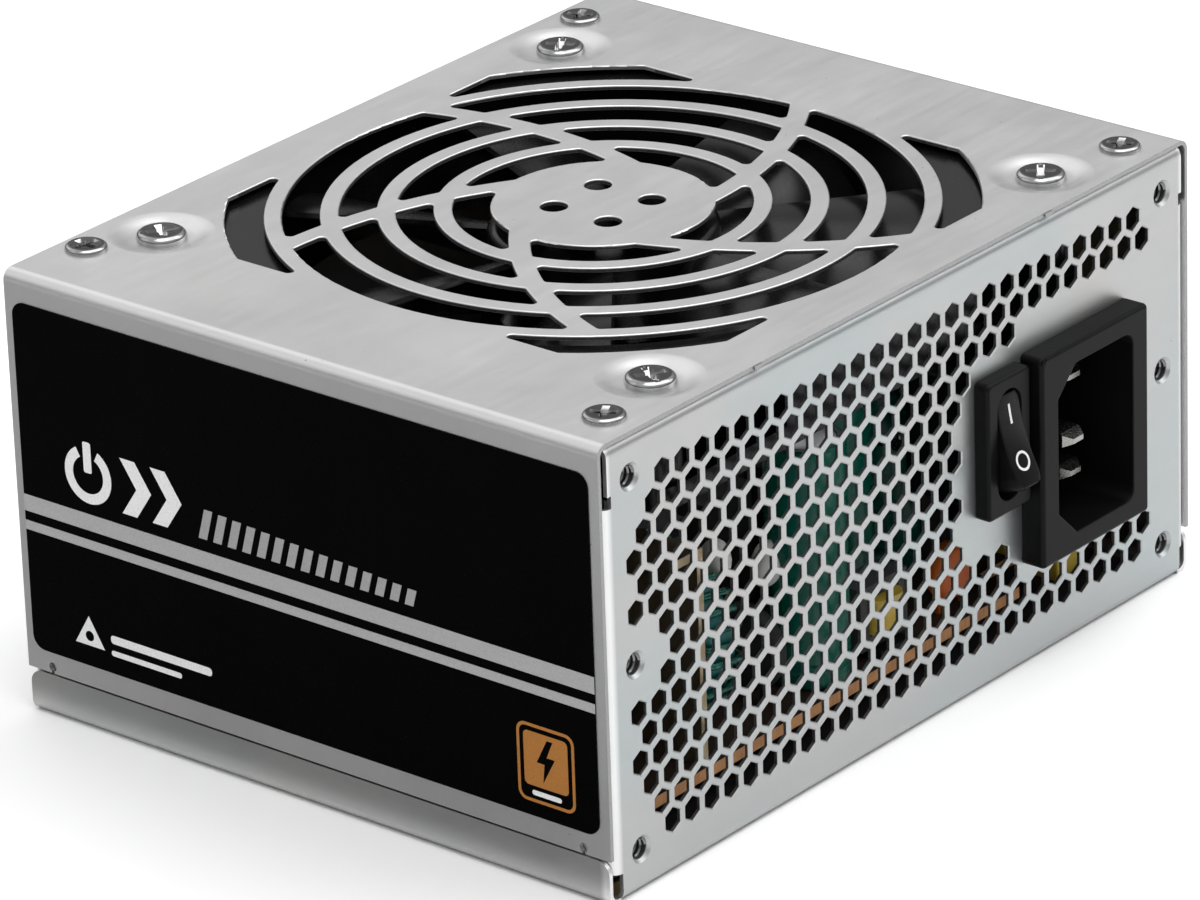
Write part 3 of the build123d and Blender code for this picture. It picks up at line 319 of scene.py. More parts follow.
def film(name, colour, roughness, speckle=0.0, gloss=0.3):
    s = Surface(name, colour, roughness)
    s.shader.inputs["Specular IOR Level"].default_value = gloss
    waves = s.noise(11, 2, 0.5)
    paler = tuple(c * (1.0 + 0.12 * speckle) + 0.0003 for c in colour)
    s.colour(s.ramp(waves, (0.3, colour), (0.8, paler)))
    s.rough(s.span(s.noise(2.5, 3), 0.3, 0.7, roughness - 0.04, roughness + 0.06))
    s.bump(waves, 0.12, 0.08)
    return s.material


def ink(name, colour, roughness=0.42, metallic=0.0):
    s = Surface(name, colour, roughness, metallic)
    dots = s.noise(0.22, 2)
    darker = tuple(c * 0.86 for c in colour)
    s.colour(s.ramp(dots, (0.35, darker), (0.6, colour)))
    s.rough(s.span(dots, 0.3, 0.7, roughness - 0.05, roughness + 0.08))
    s.bump(dots, 0.10, 0.006)
    return s.material


def board_material(name, colour, dark, roughness=0.5, top=None):
    """Laminate; top is the height above which it carries a differently coloured side."""
    s = Surface(name, colour, roughness)
    weave = s.maths("ADD", s.wave(0.8, "X", warp=0.6), s.wave(0.8, "Y", warp=0.6))
    patches = s.noise(3.5, 3, 0.6)
    base = s.ramp(patches, (0.38, dark), (0.62, colour))
    tone = s.mix(s.span(weave, 0.2, 1.8, 0.0, 0.3), base, tuple(c * 1.25 for c in colour))
    if top is not None:
        tone = s.mix(s.maths("GREATER_THAN", s.axis(2), top[0] * MM), tone, top[1])
    s.colour(tone)
    s.rough(s.span(patches, 0.3, 0.7, roughness - 0.08, roughness + 0.1))
    s.bump(weave, 0.15, 0.02)
    return s.material


def wire_enamel(name, colour, deep, roughness=0.28):
    s = Surface(name, colour, roughness, 0.85, Coat_Weight=0.5, Coat_Roughness=0.15)
    tone = s.noise(1.6, 2)
    s.colour(s.ramp(tone, (0.3, deep), (0.7, colour)))
    s.rough(s.span(s.noise(0.4, 2), 0.3, 0.7, roughness - 0.05, roughness + 0.12))
    s.bump(tone, 0.1, 0.03)
    return s.material


def stone(name, colour, pale, roughness=0.6):
    """Ferrite and powder cores: matt, with pits."""
    s = Surface(name, colour, roughness)
    pits = s.noise(0.5, 4, 0.7)
    s.colour(s.ramp(pits, (0.35, colour), (0.7, pale)))
    s.rough(s.span(pits, 0.3, 0.7, roughness - 0.08, roughness + 0.12))
    s.bump(pits, 0.4, 0.05)
    return s.material


def laminated():
    s = Surface("core_steel", (0.30, 0.31, 0.33), 0.4, 0.9)
    layers = s.wave(0.5, "Z")
    s.colour(s.ramp(layers, (0.2, (0.12, 0.12, 0.13)), (0.6, (0.40, 0.41, 0.43))))
    s.rough(s.span(s.noise(0.6, 2), 0.3, 0.7, 0.32, 0.52))
    s.bump(layers, 0.4, 0.05)
    return s.material


def wrapped_tape(name, colour, deep):
    """Polyester tape wound round a coil: overlapping edges along Z."""
    s = Surface(name, colour, 0.3, Coat_Weight=0.3, Coat_Roughness=0.1)
    layers = s.wave(3.2, "Z", warp=1.5, profile="SAW")
    s.colour(s.mix(s.span(s.noise(2.5, 3), 0.3, 0.7, 0.0, 0.6), colour, deep))
    s.rough(s.span(layers, 0.0, 1.0, 0.24, 0.4))
    s.bump(layers, 0.4, 0.12)
    return s.material


def clear_glass():
    s = Surface("fuse_glass", (0.82, 0.85, 0.83), 0.12, Coat_Weight=0.4, Coat_Roughness=0.05)
    tone = s.noise(4, 2)
    s.colour(s.ramp(tone, (0.3, (0.62, 0.66, 0.64)), (0.7, (0.85, 0.88, 0.86))))
    s.rough(s.span(tone, 0.3, 0.7, 0.08, 0.2))
    s.bump(tone, 0.05, 0.05)
    return s.material


def finishes():
    black = (0.004, 0.004, 0.0043)
    return {
        "plated_steel": plated_steel("plated_steel", (0.48, 0.483, 0.48), (0.452, 0.457, 0.455),
                                     (0.425, 0.468, 0.475), (0.49, 0.472, 0.465), 0.38,
                                     tray_cut_and_shade, tray_bend_highlight),
        "label_film": film("label_film", (0.0006, 0.0006, 0.0007), 0.26, gloss=0.03),
        "black_plastic": moulded("black_plastic", black, 0.36, lift=(0.002, 0.002, 0.002), gloss=0.09),
        "rocker_plastic": moulded("rocker_plastic", black, 0.30, grain=0.25, depth=0.006,
                                  lift=(0.002, 0.002, 0.002), gloss=0.12),
        "bright_screw": bright_metal("bright_screw", (0.42, 0.42, 0.425), 0.07, (0.10, 0.10, 0.10),
                                     painted_top_shade=(0.035, 0.035, 0.035)),
        "brass_post": bright_metal("brass_post", (0.62, 0.47, 0.20), 0.28, (0.35, 0.24, 0.10)),
        "bronze": stone("bronze", (0.32, 0.19, 0.09), (0.45, 0.29, 0.15), 0.45),
        "contact_metal": bright_metal("contact_metal", (0.34, 0.335, 0.32), 0.24, (0.22, 0.22, 0.21),
                                      relief=0.05),
        "fan_plastic": moulded("fan_plastic", (0.0035, 0.0035, 0.004), 0.24, grain=0.5, depth=0.006,
                               lift=(0.002, 0.002, 0.002)),
        "core_steel": laminated(),
        "ferrite": stone("ferrite", (0.030, 0.030, 0.033), (0.07, 0.07, 0.075)),
        "copper_wire": wire_enamel("copper_wire", (0.62, 0.26, 0.10), (0.34, 0.11, 0.04)),
        "green_board": board_material("green_board", (0.010, 0.10, 0.055), (0.006, 0.06, 0.035)),
        "paper_board": board_material("paper_board", (0.62, 0.31, 0.125), (0.44, 0.20, 0.075),
                                      top=(9.57, (0.035, 0.022, 0.014))),
        "insulation_film": film("insulation_film", (0.05, 0.05, 0.052), 0.4),
        "wire_sleeve": moulded("wire_sleeve", (0.05, 0.02, 0.015), 0.4, grain=0.6),
        "winding_green": wire_enamel("winding_green", (0.02, 0.20, 0.15), (0.004, 0.07, 0.055)),
        "print_white": ink("print_white", (0.80, 0.80, 0.80)),
        "print_grey": ink("print_grey", (0.34, 0.34, 0.34)),
        "print_silver": ink("print_silver", (0.50, 0.50, 0.50), 0.36, 0.35),
        "print_bronze": ink("print_bronze", (0.50, 0.20, 0.035), 0.40, 0.30),
        "cover_steel": plated_steel("cover_steel", (0.68, 0.68, 0.68), (0.64, 0.64, 0.64),
                                    (0.67, 0.67, 0.675), (0.68, 0.677, 0.672), 0.38, cover_cut_and_shade),
        "yellow_zinc": plated_steel("yellow_zinc", (0.50, 0.42, 0.28), (0.40, 0.32, 0.20),
                                    (0.46, 0.42, 0.30), (0.48, 0.34, 0.20), 0.30),
        "cut_steel": bright_metal("cut_steel", (0.20, 0.20, 0.205), 0.18, (0.08, 0.08, 0.08)),
        "silicone": moulded("silicone", (0.70, 0.70, 0.68), 0.45, grain=1.5, depth=0.08),
        "green_sleeve": film("green_sleeve", (0.003, 0.105, 0.072), 0.25, 2.0),
        "dark_sleeve": film("dark_sleeve", (0.010, 0.012, 0.022), 0.25, 2.0),
        "teal_core": stone("teal_core", (0.012, 0.17, 0.17), (0.02, 0.24, 0.23), 0.42),
        "yellow_core": stone("yellow_core", (0.55, 0.40, 0.03), (0.70, 0.52, 0.06), 0.42),
        "yellow_tape": wrapped_tape("yellow_tape", (0.72, 0.52, 0.06), (0.52, 0.33, 0.03)),
        "yellow_box": moulded("yellow_box", (0.62, 0.46, 0.06), 0.42, lift=(0.03, 0.02, 0.01)),
        "orange_disc": moulded("orange_disc", (0.62, 0.13, 0.02), 0.32, lift=(0.05, 0.03, 0.01)),
        "device_plastic": moulded("device_plastic", (0.018, 0.018, 0.019), 0.5),
        "aluminium_sheet": plated_steel("aluminium_sheet", (0.62, 0.63, 0.64), (0.55, 0.56, 0.57),
                                        (0.60, 0.60, 0.60), (0.62, 0.60, 0.57), 0.30),
        "fuse_glass": clear_glass(),
        "white_plastic": moulded("white_plastic", (0.72, 0.71, 0.67), 0.4, lift=(0.04, 0.04, 0.04)),
    }


# ---- light and floor ----------------------------------------------------------------------
SOFTBOXES = (
    # direction towards the box, half-angles inside and outside its soft edge in degrees, brightness
    ((0.36, 0.80, 0.60), 6, 26, 0.65),
    ((-0.24, -0.20, 1.0), 10, 26, 2.1),
    ((-0.55, 0.75, 0.62), 10, 24, 0.4),
    ((0.70, -0.41, 0.62), 8, 22, 1.5),
)
HORIZON, ZENITH = 0.20, 0.74       # brightness of the studio walls and of the ceiling
BAND = (0.02, 0.75)                # sines of the elevations between which one turns into the other
FLOOR_TONE, FLOOR_HALF = 0.95, 3.0
CARD_TONES = (0.27, 0.30)          # the grey cards are seen only in reflections
CARD_X, CARD_Y, CARD_Z = (0.066, 0.62), (-0.05, 0.7), 0.0004


def make_world():
    world = bpy.data.worlds.new("studio")
    bpy.context.scene.world = world
    world.use_nodes = True
    tree = world.node_tree

    def ramp(value, low, high, start, end):
        edge = tree.nodes.new("ShaderNodeMapRange")
        edge.interpolation_type = "SMOOTHSTEP"
        for name, setting in zip(RANGE_SOCKETS, (low, high, start, end)):
            edge.inputs[name].default_value = setting
        tree.links.new(value, edge.inputs["Value"])
        return edge.outputs["Result"]

    direction = tree.nodes.new("ShaderNodeTexCoord").outputs["Generated"]
    split = tree.nodes.new("ShaderNodeSeparateXYZ")
    tree.links.new(direction, split.inputs[0])
    total = ramp(split.outputs["Z"], *BAND, HORIZON, ZENITH)
    for towards, inner, outer, brightness in SOFTBOXES:
        dot = tree.nodes.new("ShaderNodeVectorMath")
        dot.operation = "DOT_PRODUCT"
        tree.links.new(direction, dot.inputs[0])
        dot.inputs[1].default_value = Vector(towards).normalized()
        edges = (math.cos(math.radians(outer)), math.cos(math.radians(inner)))
        add = tree.nodes.new("ShaderNodeMath")
        add.operation = "ADD"
        tree.links.new(total, add.inputs[0])
        tree.links.new(ramp(dot.outputs["Value"], *edges, 0.0, brightness), add.inputs[1])
        total = add.outputs["Value"]
    # seen directly by the camera, the backdrop is plain white
    backdrop = tree.nodes.new("ShaderNodeMath")
    backdrop.operation = "MAXIMUM"
    tree.links.new(total, backdrop.inputs[0])
    seen = tree.nodes.new("ShaderNodeLightPath").outputs["Is Camera Ray"]
    tree.links.new(seen, backdrop.inputs[1])
    tree.links.new(backdrop.outputs["Value"], tree.nodes["Background"].inputs["Color"])


def add_sun(name, towards, strength, spread):
    data = bpy.data.lights.new(name, "SUN")
    data.energy = strength
    data.angle = math.radians(spread)
    lamp = bpy.data.objects.new(name, data)
    bpy.context.scene.collection.objects.link(lamp)
    lamp.matrix_world = Vector(towards).to_track_quat("Z", "Y").to_matrix().to_4x4()


def stage_plane(name, x0, x1, y0, y1, z, material):
    mesh = bpy.data.meshes.new(name)
    mesh.from_pydata([(x0, y0, z), (x1, y0, z), (x1, y1, z), (x0, y1, z)], [], [(0, 1, 2, 3)])
    plane = bpy.data.objects.new(name, mesh)
    bpy.context.scene.collection.objects.link(plane)
    mesh.materials.append(material)
    return plane


def make_stage():
    floor = Surface("floor_paper", (FLOOR_TONE,) * 3, 0.9)
    floor.shader.inputs["Specular IOR Level"].default_value = 0.1
    paper = floor.noise(40, 2)
    floor.colour(floor.ramp(paper, (0.3, FLOOR_TONE - 0.01), (0.7, FLOOR_TONE)))
    stage_plane("floor", -FLOOR_HALF, FLOOR_HALF, -FLOOR_HALF, FLOOR_HALF, 0.0, floor.material)
    # grey cards on the floor beside the casing, seen only in reflections: they darken what the side walls reflect,
    # standing in for shade on those walls
    card = Surface("grey_card", (CARD_TONES[0],) * 3, 0.9)
    card.shader.inputs["Specular IOR Level"].default_value = 0.0
    card.colour(card.ramp(card.noise(60, 1), (0.3, CARD_TONES[0]), (0.7, CARD_TONES[1])))
    for side in (-1, 1):
        across = sorted(side * x for x in CARD_X)
        plane = stage_plane(f"card_{side + 1}", *across, *CARD_Y, CARD_Z, card.material)
        plane.visible_camera = False
        plane.visible_diffuse = False
        plane.visible_shadow = False
        plane.visible_transmission = False


make_camera()
make_world()
add_sun("key", (0.25, -0.20, 0.95), 1.3, 60)
make_stage()
bpy.context.scene.view_settings.view_transform = "Standard"
bpy.context.scene.view_settings.look = "None"

paints = finishes()
slot_of = {entry["node"]: entry["material_slot"] for entry in frame["record"]["subparts"]}
for name, thing in nodes.items():
    thing.data.materials.clear()
    thing.data.materials.append(paints[slot_of[name]])


# ---- edges --------------------------------------------------------------------------------
def soften(name, width, segments=2, angle=32):
    """Rounds a CAD node's sharp edges a little, so that they catch the light."""
    thing = nodes[name]
    weld = thing.modifiers.new("weld", "WELD")
    weld.merge_threshold = 0.001 * MM
    bevel = thing.modifiers.new("bevel", "BEVEL")
    bevel.width = width * MM
    bevel.segments = segments
    bevel.limit_method = "ANGLE"
    bevel.angle_limit = math.radians(angle)
    bevel.use_clamp_overlap = False
    bevel.harden_normals = True


nodes["top_cover"].data.materials[0] = paints["cover_steel"]
nodes["bridge_heatsink"].data.materials[0] = paints["yellow_zinc"]
soften("inlet_housing", 0.22, 3)
soften("switch_housing", 0.18, 3)
soften("switch_rocker", 0.22, 3)

# ---- mesh helpers -------------------------------------------------------------------------
def new_piece(name, bm, finish, body, slot, *stands_for, sharp=32):
    """A finished object from bm, which is in millimetres, riding on a body."""
    bmesh.ops.scale(bm, vec=(MM, MM, MM), verts=bm.verts)
    bmesh.ops.recalc_face_normals(bm, faces=bm.faces)
    mesh = bpy.data.meshes.new(name)
    bm.to_mesh(mesh)
    bm.free()
    mesh.materials.append(paints[finish])
    mesh.shade_smooth()
    mesh.set_sharp_from_angle(angle=math.radians(sharp))
    thing = bpy.data.objects.new(name, mesh)
    bpy.context.scene.collection.objects.link(thing)
    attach(thing, body)
    if stands_for:
        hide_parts(*stands_for)
    return thing


def skin(bm, rings, loop=False):
    """Quads between closed rings of points; a ring of one point is an apex."""
    made = [[bm.verts.new(point) for point in ring] for ring in rings]
    pairs = list(zip(made, made[1:])) + ([(made[-1], made[0])] if loop else [])
    for low, high in pairs:
        count = max(len(low), len(high))
        for k in range(count):
            corners = [low[k % len(low)], low[(k + 1) % len(low)],
                       high[(k + 1) % len(high)], high[k % len(high)]]
            unique = list(dict.fromkeys(corners))
            if len(unique) > 2:
                bm.faces.new(unique)
    return made


def circle(radius, z, count):
    if radius == 0:
        return [Vector((0, 0, z))]
    steps = (math.tau * k / count for k in range(count))
    return [Vector((radius * math.cos(a), radius * math.sin(a), z)) for a in steps]


def lathe(bm, profile, count):
    """A closed solid of revolution about Z; the (radius, height) pairs start and end on the axis."""
    return skin(bm, [circle(r, z, count) for r, z in profile])


def arc_points(centre, radius, start, end, steps):
    angles = (math.radians(start + (end - start) * k / steps) for k in range(steps + 1))
    return [(centre[0] + radius * math.cos(a), centre[1] + radius * math.sin(a)) for a in angles]


def rounded_box(u0, u1, v0, v1, radius, steps=5):
    corners = ((u1 - radius, v1 - radius, 0), (u0 + radius, v1 - radius, 90),
               (u0 + radius, v0 + radius, 180), (u1 - radius, v0 + radius, 270))
    points = []
    for u, v, start in corners:
        points += arc_points((u, v), radius, start, start + 90, steps)
    return points


def flat_shape(bm, loops, place, depth):
    """A plate from an outline and its holes, put in space by place(u, v, height)."""
    edges = []
    for loop in loops:
        verts = [bm.verts.new(place(u, v, 0)) for u, v in loop]
        edges += [bm.edges.new((a, b)) for a, b in zip(verts, verts[1:] + verts[:1])]
    filled = bmesh.ops.triangle_fill(bm, use_beauty=True, use_dissolve=False, edges=edges)
    faces = [item for item in filled["geom"] if isinstance(item, bmesh.types.BMFace)]
    raised = bmesh.ops.extrude_face_region(bm, geom=faces, use_keep_orig=True)
    verts = [item for item in raised["geom"] if isinstance(item, bmesh.types.BMVert)]
    bmesh.ops.translate(bm, verts=verts, vec=place(0, 0, depth) - place(0, 0, 0))


# ---- label --------------------------------------------------------------------------------
LABEL_PRINT = 0.012                # thickness of the printed layer
STRIPES = ((29.55, 31.95), (26.85, 28.2))
label_low, label_high = (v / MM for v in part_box("side_label"))


def on_label(u, v, height):
    """u runs left to right over the label and v upwards; height is out from under the print."""
    return Vector((label_low.x + LABEL_PRINT - height, -u, v))


def bolt(cu, cv, size):
    """A lightning bolt outline about a centre."""
    shape = ((0.10, 1.0), (-0.62, -0.12), (-0.10, -0.12), (-0.22, -1.0), (0.60, 0.22), (0.06, 0.22),
             (0.48, 1.0))
    return [(cu + size * a * 0.8, cv + size * b) for a, b in shape]


def slanted(u, v0, v1, width, lean=0.28):
    rise = (v1 - v0) * lean
    return [(u, v0), (u + width, v0), (u + width + rise, v1), (u + rise, v1)]


def make_label():
    film_piece = bmesh.new()
    u0, u1 = -label_high.y, -label_low.y
    rim = rounded_box(u0, u1, label_low.z, label_high.z, 2.0, 8)
    thick = label_high.x - label_low.x - LABEL_PRINT
    flat_shape(film_piece, [rim], lambda u, v, h: Vector((label_high.x - h, -u, v)), thick)
    new_piece("side_label_film", film_piece, "label_film", "casing", "label_film", "side_label")
    silver = bmesh.new()
    for low, high in STRIPES:
        flat_shape(silver, [[(u0, low), (u1, low), (u1, high), (u0, high)]], on_label, LABEL_PRINT)
    new_piece("label_stripes", silver, "print_silver", "casing", "label_film")

    white = bmesh.new()
    ring = [arc_points((-36.7, 37.6), r, 118, 422, 40) for r in (4.1, 2.65)]
    flat_shape(white, [ring[0] + ring[1][::-1]], on_label, LABEL_PRINT)
    flat_shape(white, [rounded_box(-37.4, -36.0, 37.9, 42.3, 0.3)], on_label, LABEL_PRINT)
    for start in (-30.9, -25.6):
        chevron = [(start, 41.6), (start + 2.6, 41.6), (start + 5.3, 37.65),
                   (start + 2.6, 33.7), (start, 33.7), (start + 2.7, 37.65)]
        flat_shape(white, [chevron], on_label, LABEL_PRINT)
    # small mark at the foot: a triangle with a round window, and two rules
    window = arc_points((-38.2, 14.0), 0.75, 0, 345, 23)
    flat_shape(white, [[(-40.8, 12.6), (-35.6, 12.6), (-38.2, 16.9)], window], on_label, LABEL_PRINT)
    flat_shape(white, [rounded_box(-34.4, -16.6, 14.0, 15.2, 0.5)], on_label, LABEL_PRINT)
    flat_shape(white, [rounded_box(-34.4, -22.0, 12.2, 13.0, 0.35)], on_label, LABEL_PRINT)
    flat_shape(white, [rounded_box(37.5, 42.3, 12.6, 13.3, 0.3)], on_label, LABEL_PRINT)
    new_piece("label_white_print", white, "print_white", "casing", "label_film")

    grey = bmesh.new()
    for k in range(15):
        height = 4.3 - 0.14 * k
        flat_shape(grey, [slanted(-17.6 + 2.5 * k, 33.7, 33.7 + height, 1.45)], on_label, LABEL_PRINT)
    new_piece("label_grey_print", grey, "print_grey", "casing", "label_film")

    bronze = bmesh.new()
    frame_out = rounded_box(35.2, 44.6, 11.6, 22.6, 1.4)
    frame_in = rounded_box(35.65, 44.15, 12.05, 22.15, 1.0)
    flat_shape(bronze, [frame_out, frame_in], on_label, LABEL_PRINT)
    field = rounded_box(36.3, 43.5, 13.9, 21.5, 0.7)
    flat_shape(bronze, [field, bolt(39.9, 17.7, 3.1)], on_label, LABEL_PRINT)
    new_piece("label_bronze_badge", bronze, "print_bronze", "casing", "label_film")


# ---- screws -------------------------------------------------------------------------------
# head profiles as (radius, height) pairs; crosses as length and width; slots as a bar's size;
# shanks as root and crest radius, pitch and length
FAN_HEAD_R, FAN_HEAD_TOP = 3.4, 1.2
FAN_HEAD = ((0, 0), (FAN_HEAD_R, 0), (FAN_HEAD_R, 0.42), (3.34, 0.68), (3.2, 0.90), (2.97, 1.08),
            (2.7, 1.17), (2.5, 1.19), (2.32, 1.17), (1.6, 1.155), (0, 1.15))
FAN_CROSS, FAN_SLOT, FAN_SHANK = (4.1, 1.05), (5.6, 0.7, 0.7), (1.7, 2.05, 1.0, 8.6)
COVER_HEAD_R, COVER_HEAD_TOP = 2.85, 0.75
COVER_HEAD = ((0, 0), (COVER_HEAD_R, 0), (COVER_HEAD_R, 0.26), (2.80, 0.43), (2.68, 0.58), (2.48, 0.69),
              (2.28, 0.74), (2.1, 0.745), (1.95, 0.73), (1.2, 0.715), (0, 0.71))
COVER_CROSS, COVER_SHANK = (3.7, 1.0), (1.1, 1.38, 0.79, 4.6)
COVER_FAR_X = 51.0                 # the two cover screws away from the inlet panel stand closer in


def cross_cutter(length, width, top, depth, taper=0.5):
    """A tapered cross-recess punch."""
    bm = bmesh.new()
    rings = []
    for z, scale in ((top + 0.6, 1.15), (top, 1.0), (top - depth, taper)):
        a, b = length / 2 * scale, width / 2 * (0.5 + scale / 2)
        quarter = ((a, -b), (a, b), (b, b))
        ring = []
        for k in range(4):
            c, s = math.cos(k * math.pi / 2), math.sin(k * math.pi / 2)
            ring += [Vector((u * c - v * s, u * s + v * c, z)) for u, v in quarter]
        rings.append(ring)
    rings.append([Vector((0, 0, top - depth * 1.25))])
    skin(bm, [[Vector((0, 0, top + 0.6))]] + rings)
    return bm


def loose_object(name, bm):
    mesh = bpy.data.meshes.new(name)
    bmesh.ops.recalc_face_normals(bm, faces=bm.faces)
    bm.to_mesh(mesh)
    bm.free()
    thing = bpy.data.objects.new(name, mesh)
    bpy.context.scene.collection.objects.link(thing)
    return thing


def screw_mesh(profile, top, cross, slot_size, shank):
    """A screw seated at height 0, as a mesh in millimetres: lathed head, cut recess, threaded shank."""
    head = bmesh.new()
    lathe(head, profile, 72)
    body = loose_object("tmp_head", head)
    cutters = [loose_object("tmp_cross", cross_cutter(*cross, top, cross[0] * 0.28))]
    if slot_size:
        bar = bmesh.new()
        bmesh.ops.create_cube(bar, size=1.0)
        bmesh.ops.scale(bar, vec=slot_size, verts=bar.verts)
        bmesh.ops.translate(bar, vec=(0, 0, top), verts=bar.verts)
        cutters.append(loose_object("tmp_slot", bar))
    for cutter in cutters:
        cut = body.modifiers.new("cut", "BOOLEAN")
        cut.operation, cut.solver, cut.object = "DIFFERENCE", "EXACT", cutter
    edge = body.modifiers.new("edge", "BEVEL")
    edge.width, edge.segments, edge.limit_method = 0.05, 2, "ANGLE"
    edge.angle_limit = math.radians(40)
    bpy.context.view_layer.update()
    depsgraph = bpy.context.evaluated_depsgraph_get()
    finished = bpy.data.meshes.new_from_object(body.evaluated_get(depsgraph))
    bm = bmesh.new()
    bm.from_mesh(finished)
    for thing in (body, *cutters):
        bpy.data.objects.remove(thing)
    root, tip, pitch, length = shank
    rows, count = round(length / pitch * 8), 20
    rings = [[Vector((0, 0, 0.05))]]
    for row in range(rows + 1):
        z = -length * row / rows
        ring = []
        for k in range(count):
            phase = (z / pitch + k / count) % 1.0
            fade = min(1.0, (length + z) / (2 * pitch))
            radius = root + (tip - root) * (1 - abs(2 * phase - 1)) * fade
            angle = math.tau * k / count
            ring.append(Vector((radius * math.cos(angle), radius * math.sin(angle), z)))
        rings.append(ring)
    rings.append([Vector((0, 0, -length - 0.3))])
    skin(bm, rings)
    return bm


def place_screws(name, node, spots, seat, source):
    """One piece holding a copy of source at each spot, each turned its own way."""
    turns = random.Random(name)
    all_screws = bmesh.new()
    mesh = bpy.data.meshes.new("tmp_screw")
    source.to_mesh(mesh)
    source.free()
    for x, y in spots:
        one = bmesh.new()
        one.from_mesh(mesh)
        place = Matrix.Translation((x, y, seat)) @ Matrix.Rotation(turns.uniform(0, math.pi), 4, "Z")
        bmesh.ops.transform(one, matrix=place, verts=one.verts)
        copy = bpy.data.meshes.new("tmp_copy")
        one.to_mesh(copy)
        one.free()
        all_screws.from_mesh(copy)
        bpy.data.meshes.remove(copy)
    bpy.data.meshes.remove(mesh)
    return new_piece(name, all_screws, "bright_screw", "casing", "bright_screw", node)


def make_screws():
    low, high = (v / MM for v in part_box("fan_screws"))
    half = (high.x - low.x) / 2 - FAN_HEAD_R
    spots = [(x, y) for x in (-half, half) for y in (-half, half)]
    place_screws("fan_screws_cross_slot", "fan_screws", spots, high.z - FAN_HEAD_TOP,
                 screw_mesh(FAN_HEAD, FAN_HEAD_TOP, FAN_CROSS, FAN_SLOT, FAN_SHANK))
    low, high = (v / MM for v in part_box("cover_screws"))
    near = [(side * (high.x - COVER_HEAD_R), low.y + COVER_HEAD_R) for side in (1, -1)]
    far = [(side * COVER_FAR_X, high.y - COVER_HEAD_R) for side in (1, -1)]
    place_screws("cover_screws_cross", "cover_screws", near + far, high.z - COVER_HEAD_TOP,
                 screw_mesh(COVER_HEAD, COVER_HEAD_TOP, COVER_CROSS, None, COVER_SHANK))


PANEL_HOLE_X, PANEL_HOLE_Z, PANEL_HOLE_R = 56.5, (6.0, 31.75, 57.5), 1.4
THREAD_PITCH, THREAD_TURNS, THREAD_STEPS = 0.79, 2.0, 28


def make_tapped_threads():
    """Thread ridges inside the six holes of the inlet panel."""
    bm = bmesh.new()
    start = -CASE[1] / 2 + 0.62
    root, crest = PANEL_HOLE_R + 0.04, PANEL_HOLE_R - 0.2
    half_base = Vector((0, 0.22, 0))
    for side in (-1, 1):
        for z in PANEL_HOLE_Z:
            rings = []
            for k in range(round(THREAD_TURNS * THREAD_STEPS) + 1):
                angle = math.tau * k / THREAD_STEPS
                y = start + THREAD_PITCH * k / THREAD_STEPS
                out = Vector((math.cos(angle), 0, math.sin(angle)))
                centre = Vector((side * PANEL_HOLE_X, y, z))
                rings.append([centre + out * root - half_base, centre + out * crest,
                              centre + out * root + half_base])
            made = skin(bm, rings)
            bm.faces.new(made[0])
            bm.faces.new(made[-1][::-1])
    new_piece("panel_threads", bm, "cut_steel", "casing", "plated_steel", sharp=50)


# ---- rocker marks -------------------------------------------------------------------------
def make_rocker_marks():
    joint = next(j for j in frame["joints"] if j["child"] == "rocker")
    pivot = Vector(joint["pos_m"]) / MM
    tilt = math.radians(max(joint["range_deg"]) / 2)
    half, face, hollow = 6.3, 3.85, 0.75
    curve = (half ** 2 + hollow ** 2) / (2 * hollow)

    def on_face(across, along, height):
        out = face - hollow + curve - math.sqrt(curve ** 2 - along ** 2) + height
        return pivot + Vector((across, along * math.sin(tilt) - out * math.cos(tilt),
                               along * math.cos(tilt) + out * math.sin(tilt)))

    bm = bmesh.new()
    low, high = -0.06, 0.025

    def ribbon(pairs, loop):
        rings = [[on_face(*a, high), on_face(*b, high), on_face(*b, low), on_face(*a, low)]
                 for a, b in pairs]
        made = skin(bm, rings, loop=loop)
        if not loop:
            bm.faces.new(made[0])
            bm.faces.new(made[-1][::-1])

    ribbon([((-0.2, 2.2 + 0.27 * k), (0.2, 2.2 + 0.27 * k)) for k in range(11)], False)
    spokes = [(math.cos(math.tau * k / 48), math.sin(math.tau * k / 48)) for k in range(48)]
    ribbon([((1.35 * c, 1.35 * s - 3.0), (1.0 * c, 1.0 * s - 3.0)) for c, s in spokes], True)
    new_piece("rocker_marks", bm, "print_white", "rocker", "rocker_plastic")


# ---- windings and small interior pieces ----------------------------------------------------
def tube(bm, path, radius, count=8, loop=False):
    """A round wire along path; a closed one when loop is set."""
    rings = []
    total = len(path)
    for k, point in enumerate(path):
        before = path[(k - 1) % total] if loop or k else point
        after = path[(k + 1) % total] if loop or k < total - 1 else point
        along = (after - before).normalized()
        side = along.cross(Vector((0.31, 0.17, 0.93))).normalized()
        other = along.cross(side)
        turns = [math.tau * i / count for i in range(count)]
        rings.append([point + radius * (side * math.cos(a) + other * math.sin(a)) for a in turns])
    made = skin(bm, rings, loop=loop)
    if not loop:
        bm.faces.new(made[0])
        bm.faces.new(made[-1][::-1])


